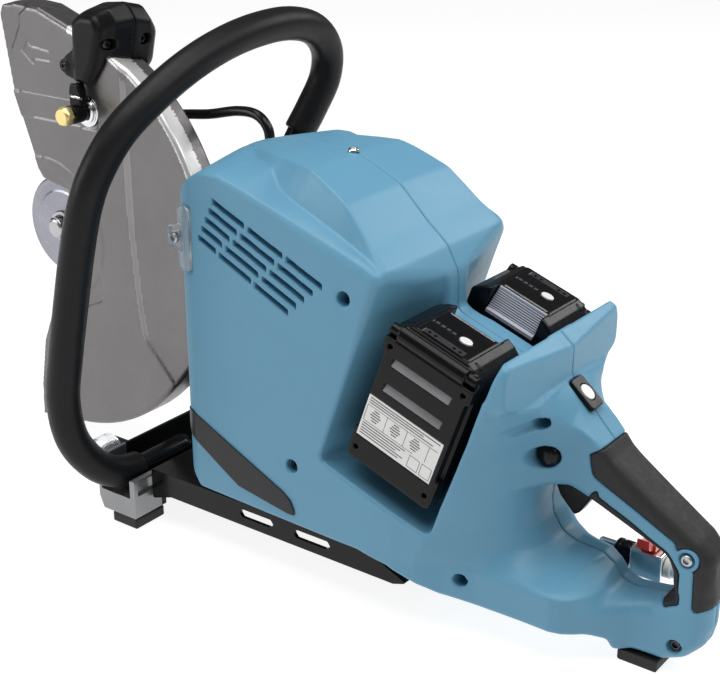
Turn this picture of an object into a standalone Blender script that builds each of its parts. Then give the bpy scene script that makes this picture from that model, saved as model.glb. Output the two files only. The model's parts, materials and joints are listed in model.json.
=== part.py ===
"""Two-battery power cutter: housing, guard, handle, drive, batteries and controls."""
import math
import bpy
import bmesh
import numpy as np
from mathutils import Vector

for _o in list(bpy.data.objects):
    bpy.data.objects.remove(_o, do_unlink=True)

MM = 0.001
X_MID = 299.0            # the row origin lies this far behind the spindle
GAP = 0.3                # clearance between neighbouring pieces

# spindle and guard
SP_X, SP_Z = 0.0, 205.0
GUARD_R = 187.0
GUARD_WALL = 2.5
GUARD_Y0, GUARD_Y1 = -4.0, 26.0
HUB_NOTCH_R = 49.0
FLANGE_R = 45.0
# motor
MOT_X, MOT_Z = 300.0, 200.0
STATOR_R = 46.0
PULLEY_R = 27.0
# batteries
TILT = math.radians(19.5)
BAT_F0, BAT_F1 = 322.0, 398.0
BAT_C0, BAT_C1 = 252.0, 371.0
BAT_Y_IN, BAT_Y_OUT = 22.0, 83.0
BAY_F0, BAY_F1 = 306.0, 405.0
BAY_C0 = 233.0
WEB_Y = 14.5
# handle
HANDLE_R = 13.5
TUBE_R = 10.3
# housing
WALL = 3.6

FX, FZ = math.cos(TILT), -math.sin(TILT)
UX, UZ = math.sin(TILT), math.cos(TILT)


def fc(f, y, c):
    """Point from battery coordinates: f rearward, c up the slide direction."""
    return (f * FX + c * UX, y, f * FZ + c * UZ)


def world(p):
    return Vector(((p[0] - X_MID) * MM, p[1] * MM, p[2] * MM))


MATS = {}


def mat(name, rgb, rough, metal=0.0, alpha=1.0):
    m = bpy.data.materials.new(name)
    m.use_nodes = True
    b = m.node_tree.nodes["Principled BSDF"]
    b.inputs["Base Color"].default_value = (*rgb, 1.0)
    b.inputs["Roughness"].default_value = rough
    b.inputs["Metallic"].default_value = metal
    b.inputs["Alpha"].default_value = alpha
    MATS[name] = m


mat("housing_teal", (0.130, 0.330, 0.440), 0.42)
mat("guard_steel", (0.36, 0.345, 0.345), 0.38, 0.85)
mat("flange_steel", (0.60, 0.62, 0.66), 0.28, 1.0)
mat("black_plastic", (0.014, 0.014, 0.016), 0.38)
mat("black_rubber", (0.035, 0.034, 0.035), 0.72)
mat("black_steel", (0.012, 0.012, 0.013), 0.22, 0.35)
mat("chrome", (0.72, 0.72, 0.74), 0.12, 1.0)
mat("brass", (0.72, 0.55, 0.16), 0.26, 1.0)
mat("cast_alloy", (0.42, 0.43, 0.45), 0.48, 0.9)
mat("steel", (0.46, 0.46, 0.48), 0.32, 1.0)
mat("copper", (0.55, 0.25, 0.12), 0.38, 0.9)
mat("red_plastic", (0.72, 0.06, 0.04), 0.35)
mat("white_plastic", (0.80, 0.80, 0.76), 0.4)
mat("grey_plastic", (0.23, 0.245, 0.30), 0.42)
mat("clear_plastic", (0.86, 0.90, 0.92), 0.10, 0.0, 0.45)


def finish(name, bm, material, smooth=True, origin=None):
    bmesh.ops.recalc_face_normals(bm, faces=bm.faces[:])
    if bm.calc_volume(signed=True) < 0:
        bmesh.ops.reverse_faces(bm, faces=bm.faces[:])
    me = bpy.data.meshes.new(name)
    bm.to_mesh(me)
    bm.free()
    ob = bpy.data.objects.new(name, me)
    bpy.context.collection.objects.link(ob)
    if material:
        me.materials.append(MATS[material])
    for p in me.polygons:
        p.use_smooth = smooth
    if origin is not None:
        o = world(origin)
        for v in me.vertices:
            v.co -= o
        ob.location = o
    return ob


def loft(name, rings, material, smooth=True, origin=None, closed=False):
    """Closed solid through rings that all have the same number of points."""
    bm = bmesh.new()
    vr = [[bm.verts.new(world(p)) for p in r] for r in rings]
    n = len(rings[0])
    pairs = list(zip(vr, vr[1:])) + ([(vr[-1], vr[0])] if closed else [])
    for a, b in pairs:
        for i in range(n):
            j = (i + 1) % n
            bm.faces.new((a[i], a[j], b[j], b[i]))
    if not closed:
        bm.faces.new(vr[0][::-1])
        bm.faces.new(vr[-1])
    return finish(name, bm, material, smooth, origin)


def prism(name, poly, y0, y1, material, smooth=False, origin=None, chamfer=0.0):
    """XZ polygon extruded along Y, with optional edge chamfers."""
    if chamfer > 0:
        small = inset(poly, chamfer)
        rings = [[(x, y0, z) for x, z in small], [(x, y0 + chamfer, z) for x, z in poly],
                 [(x, y1 - chamfer, z) for x, z in poly], [(x, y1, z) for x, z in small]]
    else:
        rings = [[(x, y0, z) for x, z in poly], [(x, y1, z) for x, z in poly]]
    return loft(name, rings, material, smooth, origin)


def prism_fc(name, poly, y0, y1, material, chamfer=0.0):
    """Battery-frame polygon (f, c) extruded along Y."""
    pts = [(fc(f, 0, c)[0], fc(f, 0, c)[2]) for f, c in poly]
    return prism(name, pts, y0, y1, material, chamfer=chamfer)


def box(name, lo, hi, material, origin=None, chamfer=0.0):
    poly = [(lo[0], lo[2]), (hi[0], lo[2]), (hi[0], hi[2]), (lo[0], hi[2])]
    return prism(name, poly, lo[1], hi[1], material, False, origin, chamfer)


def inset(poly, d):
    """Move each corner of a polygon inward by d along its mitre."""
    n = len(poly)
    area = sum(poly[i][0] * poly[(i + 1) % n][1] - poly[(i + 1) % n][0] * poly[i][1] for i in range(n))
    s = 1.0 if area > 0 else -1.0
    out = []
    for i in range(n):
        a, b, c = (Vector(poly[i - 1]), Vector(poly[i]), Vector(poly[(i + 1) % n]))
        e1, e2 = (b - a).normalized(), (c - b).normalized()
        n1, n2 = Vector((-e1.y, e1.x)) * s, Vector((-e2.y, e2.x)) * s
        m = (n1 + n2)
        k = d / max(0.35, 0.5 * m.length_squared)
        out.append((b.x + m.x * k, b.y + m.y * k))
    return out


def lathe(name, profile, centre, axis, segs, material, origin=None):
    """Solid of revolution. profile: (distance along axis, radius), open ends are capped.
    A closed profile whose radii never reach zero makes a ring."""
    bm = bmesh.new()
    ring_like = profile[0] == profile[-1]
    prof = profile[:-1] if ring_like else profile
    ax = {"x": 0, "y": 1, "z": 2}[axis]
    o1, o2 = [(1, 2), (2, 0), (0, 1)][ax]
    rows = []
    for d, r in prof:
        row = []
        for k in range(segs):
            t = 2 * math.pi * k / segs
            p = [0.0, 0.0, 0.0]
            p[ax] = centre[ax] + d
            p[o1] = centre[o1] + r * math.cos(t)
            p[o2] = centre[o2] + r * math.sin(t)
            row.append(bm.verts.new(world(p)))
        rows.append(row)
    pairs = list(zip(rows, rows[1:])) + ([(rows[-1], rows[0])] if ring_like else [])
    for a, b in pairs:
        for k in range(segs):
            j = (k + 1) % segs
            bm.faces.new((a[k], a[j], b[j], b[k]))
    if not ring_like:
        bm.faces.new(rows[0][::-1])
        bm.faces.new(rows[-1])
    return finish(name, bm, material, True, origin if origin is not None else centre)


def spline(pts, n):
    """Smooth centripetal curve through the given points."""
    p = [np.array(q, float) for q in pts]
    p = [2 * p[0] - p[1]] + p + [2 * p[-1] - p[-2]]
    out = []
    for i in range(1, len(p) - 2):
        for k in range(n):
            t = k / n
            a, b, c, d = p[i - 1], p[i], p[i + 1], p[i + 2]
            out.append(0.5 * ((2 * b) + (c - a) * t + (2 * a - 5 * b + 4 * c - d) * t * t
                              + (3 * b - 3 * c + d - a) * t ** 3))
    out.append(p[-2])
    return out


def sweep(name, path, radius, segs, material, origin=None, inner=None):
    """Round bar along a path; with inner, an open tube."""
    pts = [Vector(tuple(q)) for q in path]
    tang = []
    for i in range(len(pts)):
        a, b = pts[max(0, i - 1)], pts[min(len(pts) - 1, i + 1)]
        tang.append((b - a).normalized())
    ref = Vector((0, 0, 1)) if abs(tang[0].z) < 0.9 else Vector((1, 0, 0))
    u = tang[0].cross(ref).normalized()
    frames = []
    for t in tang:
        u = (u - t * u.dot(t)).normalized()
        frames.append((u, t.cross(u)))
    def circle(i, r):
        u_, v_ = frames[i]
        return [tuple(pts[i] + u_ * (r * math.cos(2 * math.pi * k / segs))
                      + v_ * (r * math.sin(2 * math.pi * k / segs))) for k in range(segs)]
    outer = [circle(i, radius) for i in range(len(pts))]
    if inner is None:
        return loft(name, outer, material, True, origin)
    rings = outer + [circle(i, inner) for i in range(len(pts) - 1, -1, -1)]
    return loft(name, rings, material, True, origin, closed=True)


def cut(ob, cutter, op="DIFFERENCE"):
    m = ob.modifiers.new(cutter.name, "BOOLEAN")
    m.operation = op
    m.solver = "EXACT"
    m.object = cutter
    cutter.hide_render = True
    cutter.display_type = "WIRE"


# ------------------------------------------------------------------ housing halves
# x at top, x at bottom, top z, shoulder y, shoulder z, side y, side top z, bottom z
STATIONS = [
    (226, 224, 302, 40, 300, 70, 288, 68), (231, 229, 315, 46, 312, 77, 301, 60),
    (240, 238, 321, 50, 318, 80.5, 307, 56), (272, 264, 326, 40, 324, 82, 310, 54),
    (302, 286, 328, 48, 320, 83, 302, 54), (338, 308, 327, 62, 308, 84, 293, 54),
    (361, 323, 317, 65, 303, 85, 286, 54), (376, 335, 310, 66, 299, 85, 280, 54),
    (400, 350, 286, 68, 277, 85, 268, 54), (419, 365, 271, 69, 262, 85, 256, 54),
    (427.5, 374, 255, 70, 249, 85, 244, 54), (428.5, 384, 229, 70, 228, 85, 224, 54),
    (470, 422, 228, 76, 226, 84, 219, 49), (512, 444, 228, 78, 224, 82.5, 216, 41),
    (521, 456, 226, 74, 221, 76, 211, 37), (525, 494, 219, 48, 212, 57, 200, 32),
    (528, 532, 196, 21, 190, 33, 178, 25), (545, 562, 172, 13, 169, 22, 158, 17),
    (566, 580, 150, 11, 147.5, 20, 138, 12), (600, 598, 126.7, 11, 124, 19, 114, 9),
    (630, 614, 106, 11, 103.5, 18.5, 94, 9), (639, 632, 98.5, 10, 96, 16, 88, 15),
    (643, 643, 90, 7, 89, 11, 86, 36),
]


def housing_rings(side, shrink=0.0):
    rings = []
    for xt, xb, zt, yp, zc, ys, zs, zb in STATIONS:
        h = zt - zb
        pts = [(0.0, zt), (yp * 0.55, zt), (yp, zc), (ys - 2.5, zs), (ys, zs - 0.06 * h),
               (ys, zb + 0.35 * h), (ys, zb + min(14.0, 0.15 * h)), (ys - min(8.0, 0.2 * ys), zb + 1.5),
               (ys * 0.4, zb), (0.0, zb)]
        ring = []
        for y, z in pts:
            x = xb + (xt - xb) * (z - zb) / (zt - zb)
            ring.append((x, side * (y + 0.15), z))
        rings.append(ring)
    return rings


CAV = [(235, 232, 312, 46, 309, 73, 298, 64), (244, 242, 317, 46, 314, 77, 304, 60),
       (272, 264, 322, 37, 320, 78.3, 306, 58), (302, 286, 324, 45, 316, 79.3, 298, 58),
       (338, 308, 322, 58, 304, 80.3, 289, 58), (361, 318, 312, 61, 299, 81.3, 282, 58),
       (383, 326, 297, 62, 285, 81.3, 274, 58)]


def cavity(name, side):
    rings = []
    for xt, xb, zt, yp, zc, ys, zs, zb in CAV:
        pts = [(-6.0, zt), (yp * 0.55, zt), (yp, zc), (ys - 2.5, zs), (ys, zs - 14),
               (ys, zb + 14), (ys - 8, zb), (-6.0, zb)]
        rings.append([(xb + (xt - xb) * (z - zb) / (zt - zb), side * y, z) for y, z in pts])
    return loft(name, rings, None, False)


HAND = [(519, 116), (518, 99), (525, 87), (540, 80), (566, 80), (576, 67), (586, 59.5), (611, 59.5),
        (614, 68), (613, 81), (607, 92), (552, 115.5), (535, 122)]


def path_frame(path):
    out = []
    for i in range(len(path)):
        a, b = path[max(0, i - 1)], path[min(len(path) - 1, i + 1)]
        t = Vector((b[0] - a[0], b[1] - a[1])).normalized()
        out.append((Vector(path[i]), Vector((-t.y, t.x))))
    return out


def saddle(name, path, half, depth, skin, grow, material, flip=1.0):
    """Soft cover wrapped over a bar: U-shaped sections along an XZ path."""
    if grow:
        a, b, c, d = (Vector(path[k]) for k in (0, 1, -2, -1))
        path = [tuple(a - (b - a).normalized() * grow)] + list(path[1:-1]) + [tuple(d + (d - c).normalized() * grow)]
    rings = []
    for p, n in path_frame(path):
        n = n * flip
        g = grow
        ow, iw = half + (6 if g else 0), half - skin - g
        top, it, dp = (6 if g else 0), -skin - g, -depth - g
        sec = [(-ow, dp), (-ow, -5.5 + top), (-ow * 0.76, -1.4 + top), (-ow * 0.4, top), (ow * 0.4, top),
               (ow * 0.76, -1.4 + top), (ow, -5.5 + top), (ow, dp), (iw, dp), (iw, it - 3.0),
               (iw * 0.7, it), (-iw * 0.7, it), (-iw, it - 3.0), (-iw, dp)]
        rings.append([(p.x + n.x * d, w, p.y + n.y * d) for w, d in sec])
    return loft(name, rings, material, True)


GRIP_PATH = [(566, 150), (583, 138.4), (600, 126.8), (617, 115.2), (631, 105.6), (639, 98.8), (642.4, 90.5),
             (643, 80), (643, 66), (643, 54)]
UNDER_PATH = [(554, 114.6), (570, 107.9), (588, 100.4), (604, 93.6), (610.5, 87.5), (613, 80), (613.6, 70)]

housing = []
for tag, side in (("left", -1.0), ("right", 1.0)):
    h = loft("housing_" + tag, housing_rings(side), "housing_teal", True)
    cut(h, cavity("cut_cavity_" + tag, side))
    y0, y1 = (-110.0, -WEB_Y) if side < 0 else (WEB_Y, 110.0)
    cut(h, prism_fc("cut_bay_" + tag, [(BAY_F0, BAY_C0), (BAY_F1, BAY_C0), (BAY_F1, 420), (BAY_F0, 420)],
                    y0, y1, None))
    housing.append(h)
hand_cut = prism("cut_hand", HAND, -60, 60, None)
grip_cut = saddle("cut_grip", GRIP_PATH, 18.6, 15.0, 4.0, GAP, None)
under_cut = saddle("cut_under", UNDER_PATH, 18.6, 7.5, 3.4, GAP, None, flip=-1.0)
trigger_cut = box("cut_trigger", (514, -6.4, 84), (549.5, 6.4, 138), None)
for h in housing:
    cut(h, hand_cut)
    cut(h, grip_cut)
    cut(h, under_cut)
    cut(h, trigger_cut)

# ventilation slots in the left side wall: five rows of three, falling to the rear
VENT_SLOPE = math.radians(-25.5)
vent_rings = []
VENTS = []
for r in range(5):
    for c in range(3):
        x0 = 262 - r * 4.0 + c * 36.0 + (0 if r else 0)
        z0 = 291.5 - r * 8.6 - (x0 - 262) * math.tan(-VENT_SLOPE) - r * 1.9
        L = 31.5 if c else (31.5 if r < 3 else 31.5 - (r - 2) * 7.0)
        xs = x0 + (31.5 - L)
        zs = z0 - (31.5 - L) * math.tan(-VENT_SLOPE)
        VENTS.append((xs, zs, L))
bm = bmesh.new()
for xs, zs, L in VENTS:
    dx, dz = math.cos(VENT_SLOPE), math.sin(VENT_SLOPE)
    h2 = 1.9
    quad = [(xs, zs - h2), (xs + L * dx, zs + L * dz - h2), (xs + L * dx, zs + L * dz + h2), (xs, zs + h2)]
    a = [bm.verts.new(world((x, -92, z))) for x, z in quad]
    b = [bm.verts.new(world((x, -74, z))) for x, z in quad]
    for i in range(4):
        j = (i + 1) % 4
        bm.faces.new((a[i], a[j], b[j], b[i]))
    bm.faces.new(a[::-1])
    bm.faces.new(b)
vents = finish("cut_vents", bm, None, False)
cut(housing[0], vents)

# front wall window for the drive arm, right half only
cut(housing[1], box("cut_arm_window", (215, 35.4, 160.5), (262, 74.3, 245.5), None))

# counterbored screw seats
for k, (x, y, z) in enumerate(((388, -90, 248), (338, -90, 104))):
    seat = lathe("cut_seat_%d" % k, [(0, 5.5), (12.5, 5.5)], (x, y, z), "y", 12, None)
    cut(housing[0], seat)

# lock button and light switch pockets, hose port
LOCK = (521.5, 0, 145.5)
cut(housing[0], lathe("cut_lock", [(-60, 9.0), (-19.0, 9.0)], LOCK, "y", 16, None))
LIGHT = (535, 0, 186.5)
LIGHT_N = Vector((0.66, 0, 0.75)).normalized()


def light_frame(a, b, c):
    """a across (Y), b down the neck slope, c out of the face."""
    t = Vector((LIGHT_N.z, 0, -LIGHT_N.x))
    return (LIGHT[0] + t.x * b + LIGHT_N.x * c, a, LIGHT[2] + t.z * b + LIGHT_N.z * c)


def light_box(name, ha, hb, c0, c1, material, oval=0, origin=None):
    if oval:
        pts = [(ha * math.cos(2 * math.pi * k / oval), hb * math.sin(2 * math.pi * k / oval)) for k in range(oval)]
    else:
        q = 2.2
        pts = [(-ha + q, -hb), (ha - q, -hb), (ha, -hb + q), (ha, hb - q), (ha - q, hb), (-ha + q, hb),
               (-ha, hb - q), (-ha, -hb + q)]
    return loft(name, [[light_frame(a, b, c0) for a, b in pts], [light_frame(a, b, c1) for a, b in pts]],
                material, oval > 0, origin)


for h in housing:
    cut(h, light_box("cut_light_" + h.name, 8.2, 12.8, -3.0, 20, None))

# ------------------------------------------------------------------ fittings on the housing
PLATE = [(229.5, 102), (229.5, 124), (329, 80.5), (340, 70), (341, 62.5), (284, 71.5)]
def wall_y(x):
    """Half width of the lower side wall at a station."""
    return float(np.interp(x, [230, 238, 266, 289, 313, 330, 345], [77.4, 80.7, 82.2, 83.2, 84.2, 85.2, 85.2]))


plate_rings = []
for x in (232, 238, 266, 284, 313, 330, 340):
    zt_ = float(np.interp(x, [232, 329, 340], [123, 79.5, 69]))
    zb_ = float(np.interp(x, [232, 284, 340], [98, 70.5, 65]))
    a_, b_ = -(wall_y(x) + GAP), -(wall_y(x) + GAP + 1.4)
    plate_rings.append([(x, a_, zb_), (x, b_, zb_), (x, b_, zt_), (x, a_, zt_)])
plate = loft("rating_plate", plate_rings, "black_plastic", False)
clip = prism("side_clip", [(221.5, 236), (229, 232), (233, 246), (233, 286), (229, 290), (221.5, 284)],
             -82.5, -70.5, "clear_plastic", chamfer=1.2)
cut(clip, lathe("cut_clip", [(-8, 4.3), (30, 4.3)], (226.5, -88, 261), "y", 12, None))
for h in housing[:1]:
    cut(h, box("cut_clip_seat", (215, -110, 231), (233.4, -70.1, 291), None))
clip_screw = lathe("clip_screw", [(-85.5, 3.2), (-84.5, 4.0), (-71.5, 4.0)], (226.5, 0, 261), "y", 12, "steel")
cut(clip_screw, lathe("cut_clip_hex", [(-95, 1.9), (-79, 1.9)], (226.5, 0, 261), "y", 6, None))

top_screw = lathe("housing_screw_top", [(0.6, 3.6), (3.2, 3.6), (3.8, 3.0)], (334, 0, 327), "z", 12, "steel",
                  origin=(334, 0, 327.6))
tail_screw = lathe("housing_screw_tail", [(-24.5, 3.4), (-23.9, 4.2), (-20.6, 4.2)], (627, 0, 81), "y", 12,
                   "steel")
cut(tail_screw, lathe("cut_tail_hex", [(-30, 1.9), (-22.6, 1.9)], (627, 0, 81), "y", 6, None))

# ------------------------------------------------------------------ rear grip covers
grip_outer = saddle("grip_rubber_outer", GRIP_PATH, 18.6, 15.0, 4.0, 0.0, "black_rubber")
grip_inner = saddle("grip_rubber_inner", UNDER_PATH, 18.6, 7.5, 3.4, 0.0, "black_rubber", flip=-1.0)

# ------------------------------------------------------------------ under-frame and front bracket
frame_poly = [(178.5, 49.5), (398, 49.5), (430, 36), (436, 33), (424, 29), (200, 29), (178.5, 22)]
under = prism("under_frame", frame_poly, -73.5, 73.5, "black_steel")
cut(under, prism("cut_frame_core", [(170, 46.3), (396, 46.3), (440, 27), (440, 10), (170, 10)], -70.3, 70.3, None))
for k, (x0, x1) in enumerate(((280, 309), (333, 363))):
    slot = prism("cut_frame_slot_%d" % k, [(x0, 43.5), (x1 - 4, 43.5), (x1, 40), (x1 - 4, 37), (x0, 37), (x0 - 3, 40)],
                 -80, 80, None)
    cut(under, slot)

BR_Y = 93.0
bracket = prism("front_bracket", [(140, 9.3), (177.5, 9.3), (177.5, 44), (171.8, 44), (171.8, 27), (138.6, 27),
                                  (138.6, 57), (135.6, 57), (135.6, 20)], -BR_Y, BR_Y, "black_plastic")
for k, s in enumerate((-1, 1)):
    ear = prism("cut_ear_%d" % k, [(137.5, 38), (137.5, 55), (116, 55), (113.5, 52), (113.5, 43), (117, 39)],
                min(s * 59.5, s * 54.5), max(s * 59.5, s * 54.5), None)
    cut(bracket, ear, "UNION")
    pin = [(-82.6, 5.2), (-80.4, 5.2), (-80.4, 3.0), (-56.0, 3.0)]
    if s > 0:
        pin = [(-a, b) for a, b in pin][::-1]
    cut(bracket, lathe("cut_pin_%d" % k, pin, (121, 0, 48), "y", 12, None), "UNION")
for tag, s in (("left", -1), ("right", 1)):
    foot = box("front_foot_" + tag, (150, min(s * 93, s * 60), 0), (177.5, max(s * 93, s * 60), 9), "black_rubber",
               chamfer=1.2)
    y0, y1 = (-80.0, -60.2) if s < 0 else (60.2, 80.0)
    prof = [(y0, 9.5), (y0 + 2, 12.8), (y1 - 2, 12.8), (y1, 9.5), (y1, 3.4), (y0, 3.4), (y0, 9.5)]
    lathe("roller_" + tag, prof, (121, 0, 48), "y", 20, "clear_plastic", origin=(121, s * 70, 48))

rear_foot = box("rear_foot", (582, -21, 0), (612, 21, 8.6), "black_rubber", chamfer=1.5)

# ------------------------------------------------------------------ front handle
HANDLE_PTS = [(157.3, -12, 41.5), (157, -40, 41.5), (156, -66, 41.5), (153.5, -90, 46), (149, -110, 61), (145, -126, 88),
              (146.5, -133, 125), (155, -134.0, 165), (166, -133.5, 212), (176, -132, 256), (184.5, -129, 290),
              (191, -121, 315), (198, -103, 341), (205, -76, 362), (210, -42, 380), (213, -5, 392),
              (214.5, 34, 398), (214, 74, 397.5), (212, 108, 388), (208, 130, 368), (202.5, 134.3, 343),
              (196.5, 123, 318), (191, 112, 298), (187, 104, 282)]
HL = spline(HANDLE_PTS, 1)
sleeve_path = HL[2:-1]
tube_path = HL
sleeve = sweep("front_handle_sleeve", sleeve_path, HANDLE_R, 14, "black_rubber", inner=TUBE_R + 0.5)
tube = sweep("front_handle_tube", tube_path, TUBE_R, 12, "black_steel")
clamp = prism("handle_mount_right", [(172, 250), (202, 250), (202, 268), (194, 276), (180, 276), (172, 268)],
              74.0, 118, "cast_alloy", chamfer=1.5)

# ------------------------------------------------------------------ drive arm, belt and motor
ARM_Y0, ARM_Y1 = 36.0, 70.0


def capsule(x0, z0, r0, x1, z1, r1, n=9):
    d = math.hypot(x1 - x0, z1 - z0)
    a = math.atan2(z1 - z0, x1 - x0)
    b = math.acos((r0 - r1) / d)
    pts = []
    for k in range(n + 1):
        t = a + b + (2 * math.pi - 2 * b) * k / n
        pts.append((x0 + r0 * math.cos(t), z0 + r0 * math.sin(t)))
    for k in range(n + 1):
        t = a - b + 2 * b * k / n
        pts.append((x1 + r1 * math.cos(t), z1 + r1 * math.sin(t)))
    return pts


ARM_OUT = capsule(SP_X, SP_Z, 38, MOT_X, MOT_Z, 38)
ARM_IN = capsule(SP_X, SP_Z, 34, MOT_X, MOT_Z, 34)
arm = prism("drive_arm", ARM_OUT, ARM_Y0, ARM_Y1, "cast_alloy", chamfer=1.5)
hub = lathe("cut_arm_hub", [(24.8, 27.5), (26.2, 29.5), (38.0, 29.5)], (SP_X, 0, SP_Z), "y", 24, None)
cut(arm, hub, "UNION")
lug = prism("cut_arm_lug", [(171, 230), (203, 230), (203, 249), (171, 249)], 50, ARM_Y1 - 0.5, None)
lug2 = prism("cut_arm_lug2", [(171, 240.4), (203, 240.4), (203, 249.4), (171, 249.4)], 60, 112, None)
cut(arm, lug, "UNION")
cut(arm, lug2, "UNION")
cut(arm, prism("cut_arm_core", ARM_IN, ARM_Y0 + 4, ARM_Y1 + 4, None))
cut(arm, lathe("cut_arm_bore", [(20, 10.4), (60, 10.4)], (SP_X, 0, SP_Z), "y", 20, None))
cut(arm, lathe("cut_arm_bore2", [(20, 8.4), (60, 8.4)], (MOT_X, 0, MOT_Z), "y", 20, None))
cover = prism("arm_cover", inset(ARM_OUT, 1.0), ARM_Y1 + GAP, ARM_Y1 + 3.3, "cast_alloy")
belt_out = capsule(SP_X, SP_Z, PULLEY_R + 3.2, MOT_X, MOT_Z, PULLEY_R + 3.2, 9)
belt = prism("drive_belt", belt_out, 47, 61, "black_rubber")
cut(belt, prism("cut_belt_core", capsule(SP_X, SP_Z, PULLEY_R + 0.8, MOT_X, MOT_Z, PULLEY_R + 0.8, 9), 40, 70, None))
lathe("spindle_pulley", [(46.0, PULLEY_R), (62.0, PULLEY_R), (62.0, 10.4), (46.0, 10.4), (46.0, PULLEY_R)],
      (SP_X, 0, SP_Z), "y", 24, "steel")
lathe("motor_pulley", [(46.0, PULLEY_R), (62.0, PULLEY_R), (62.0, 8.4), (46.0, 8.4), (46.0, PULLEY_R)],
      (MOT_X, 0, MOT_Z), "y", 24, "steel")
lathe("motor_stator", [(-42, STATOR_R), (28, STATOR_R), (28, 27), (-42, 27), (-42, STATOR_R)],
      (MOT_X, 0, MOT_Z), "y", 24, "copper")
lathe("motor_rotor", [(-66, 8.0), (-44, 8.0), (-40, 8.0), (-40, 26), (26, 26), (26, 8.0), (64, 8.0)],
      (MOT_X, 0, MOT_Z), "y", 20, "steel")
fan = lathe("motor_fan", [(-62, 40), (-58, 41), (-58, 16), (-50, 12), (-50, 8.4), (-62, 8.4), (-62, 40)],
            (MOT_X, 0, MOT_Z), "y", 24, "black_plastic")
box("controller_case", (246, -66, 62), (322, 66, 96), "black_plastic", chamfer=2.0)

# ------------------------------------------------------------------ spindle and flanges
lathe("spindle", [(14.9, 8.0), (24.0, 8.0), (24.0, 10.0), (66.0, 10.0)], (SP_X, 0, SP_Z), "y", 20, "steel")
lathe("inner_flange", [(17.6, FLANGE_R), (19.2, FLANGE_R), (23, 30), (23, 8.4), (17.6, 8.4), (17.6, FLANGE_R)],
      (SP_X, 0, SP_Z), "y", 24, "flange_steel")
lathe("outer_flange", [(9.4, 14), (9.4, 32), (11.4, 40), (11.4, FLANGE_R - 1.2), (12.4, FLANGE_R),
                       (14.4, FLANGE_R), (14.4, 8.4), (12.2, 8.4), (12.2, 14), (9.4, 14)],
      (SP_X, 0, SP_Z), "y", 30, "flange_steel")
bolt = lathe("spindle_bolt", [(-1.0, 8.6), (0.1, 9.8), (6.8, 9.8)], (SP_X, 0, SP_Z), "y", 6, "steel")
cut(bolt, lathe("cut_bolt_washer", [(6.2, 13.2), (11.9, 13.2)], (SP_X, 0, SP_Z), "y", 24, None), "UNION")
cut(bolt, lathe("cut_bolt_shank", [(10.5, 7.9), (14.5, 7.9)], (SP_X, 0, SP_Z), "y", 20, None), "UNION")

# ------------------------------------------------------------------ guard
def arc(cx, cz, r, a0, a1, n):
    return [(cx + r * math.cos(math.radians(a0 + (a1 - a0) * k / n)),
             cz + r * math.sin(math.radians(a0 + (a1 - a0) * k / n))) for k in range(n + 1)]


NOSE = [(-43, 390), (-38, 400), (-26, 403), (5, 401)]
BACK = arc(SP_X, SP_Z, GUARD_R, 71, -30, 22)
LOW = arc(SP_X, SP_Z, 184.5, -38, -82.5, 9)
FRONT_LOW = [(-34, 15.5), (-32, 47), (-23, 93), (-6, 132), (22, 160)]
HUBARC = arc(SP_X, SP_Z, HUB_NOTCH_R, -38, 58, 8)
FRONT_UP = [(8, 249), (-5, 252), (-11, 260), (-19, 283), (-34, 324)]
OUTLINE = NOSE + BACK + LOW + FRONT_LOW + HUBARC + FRONT_UP
guard = prism("guard_shell", OUTLINE, GUARD_Y0, GUARD_Y1, "guard_steel", chamfer=2.2)
w = GUARD_WALL
CORE = ([(-70, 387), (-60, 397.5), (-26, 400.3), (4.5, 398.3)] + arc(SP_X, SP_Z, GUARD_R - w - 0.2, 70.5, -30, 22)
        + arc(SP_X, SP_Z, 184.5 - w - 0.2, -38, -82.5, 9) + [(-34, 19.0), (-80, 12), (-80, 200)])
cut(guard, prism("cut_guard_core", CORE, GUARD_Y0 + w, GUARD_Y1 - w, None))
ring = prism("guard_hub_ring", arc(SP_X, SP_Z, 60, -75, 75, 16) + arc(SP_X, SP_Z, 42, 95, 265, 14),
             GUARD_Y1 + GAP, 29.4, "steel")
cut(ring, lathe("cut_hub_ring", [(25, 30.2), (45, 30.2)], (SP_X, 0, SP_Z), "y", 28, None))

# grip block over the rim: left and right mouldings
BLOCK = [(-15.5, [(53, 349), (63, 346), (71, 365), (78, 384), (74, 393), (62, 396), (54, 391)]),
         (-12.0, [(52, 345), (68, 343), (80, 362), (89, 390), (83, 402), (64, 402), (54, 395)]),
         (-4.0, [(52, 345), (72, 343), (90, 364), (99, 396), (91, 408), (66, 405), (54, 398)]),
         (12.0, [(53, 348), (76, 346), (97, 362), (105, 398), (95, 412), (68, 409), (55, 400)]),
         (27.0, [(56, 352), (82, 348), (99, 357), (107, 394), (98, 408), (71, 407), (58, 398)]),
         (35.0, [(58, 354), (84, 350), (98, 357), (105, 386), (97, 399), (73, 400), (60, 392)]),
         (38.5, [(62, 360), (82, 356), (93, 362), (98, 384), (92, 391), (76, 392), (66, 386)])]


def block_section(y):
    """Grip block outline at a side position, between the two nearest sections."""
    for (ya, pa), (yb, pb) in zip(BLOCK, BLOCK[1:]):
        if ya <= y <= yb:
            t = (y - ya) / (yb - ya)
            return [(a[0] + (b[0] - a[0]) * t, y, a[1] + (b[1] - a[1]) * t) for a, b in zip(pa, pb)]
    raise ValueError(y)


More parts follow.
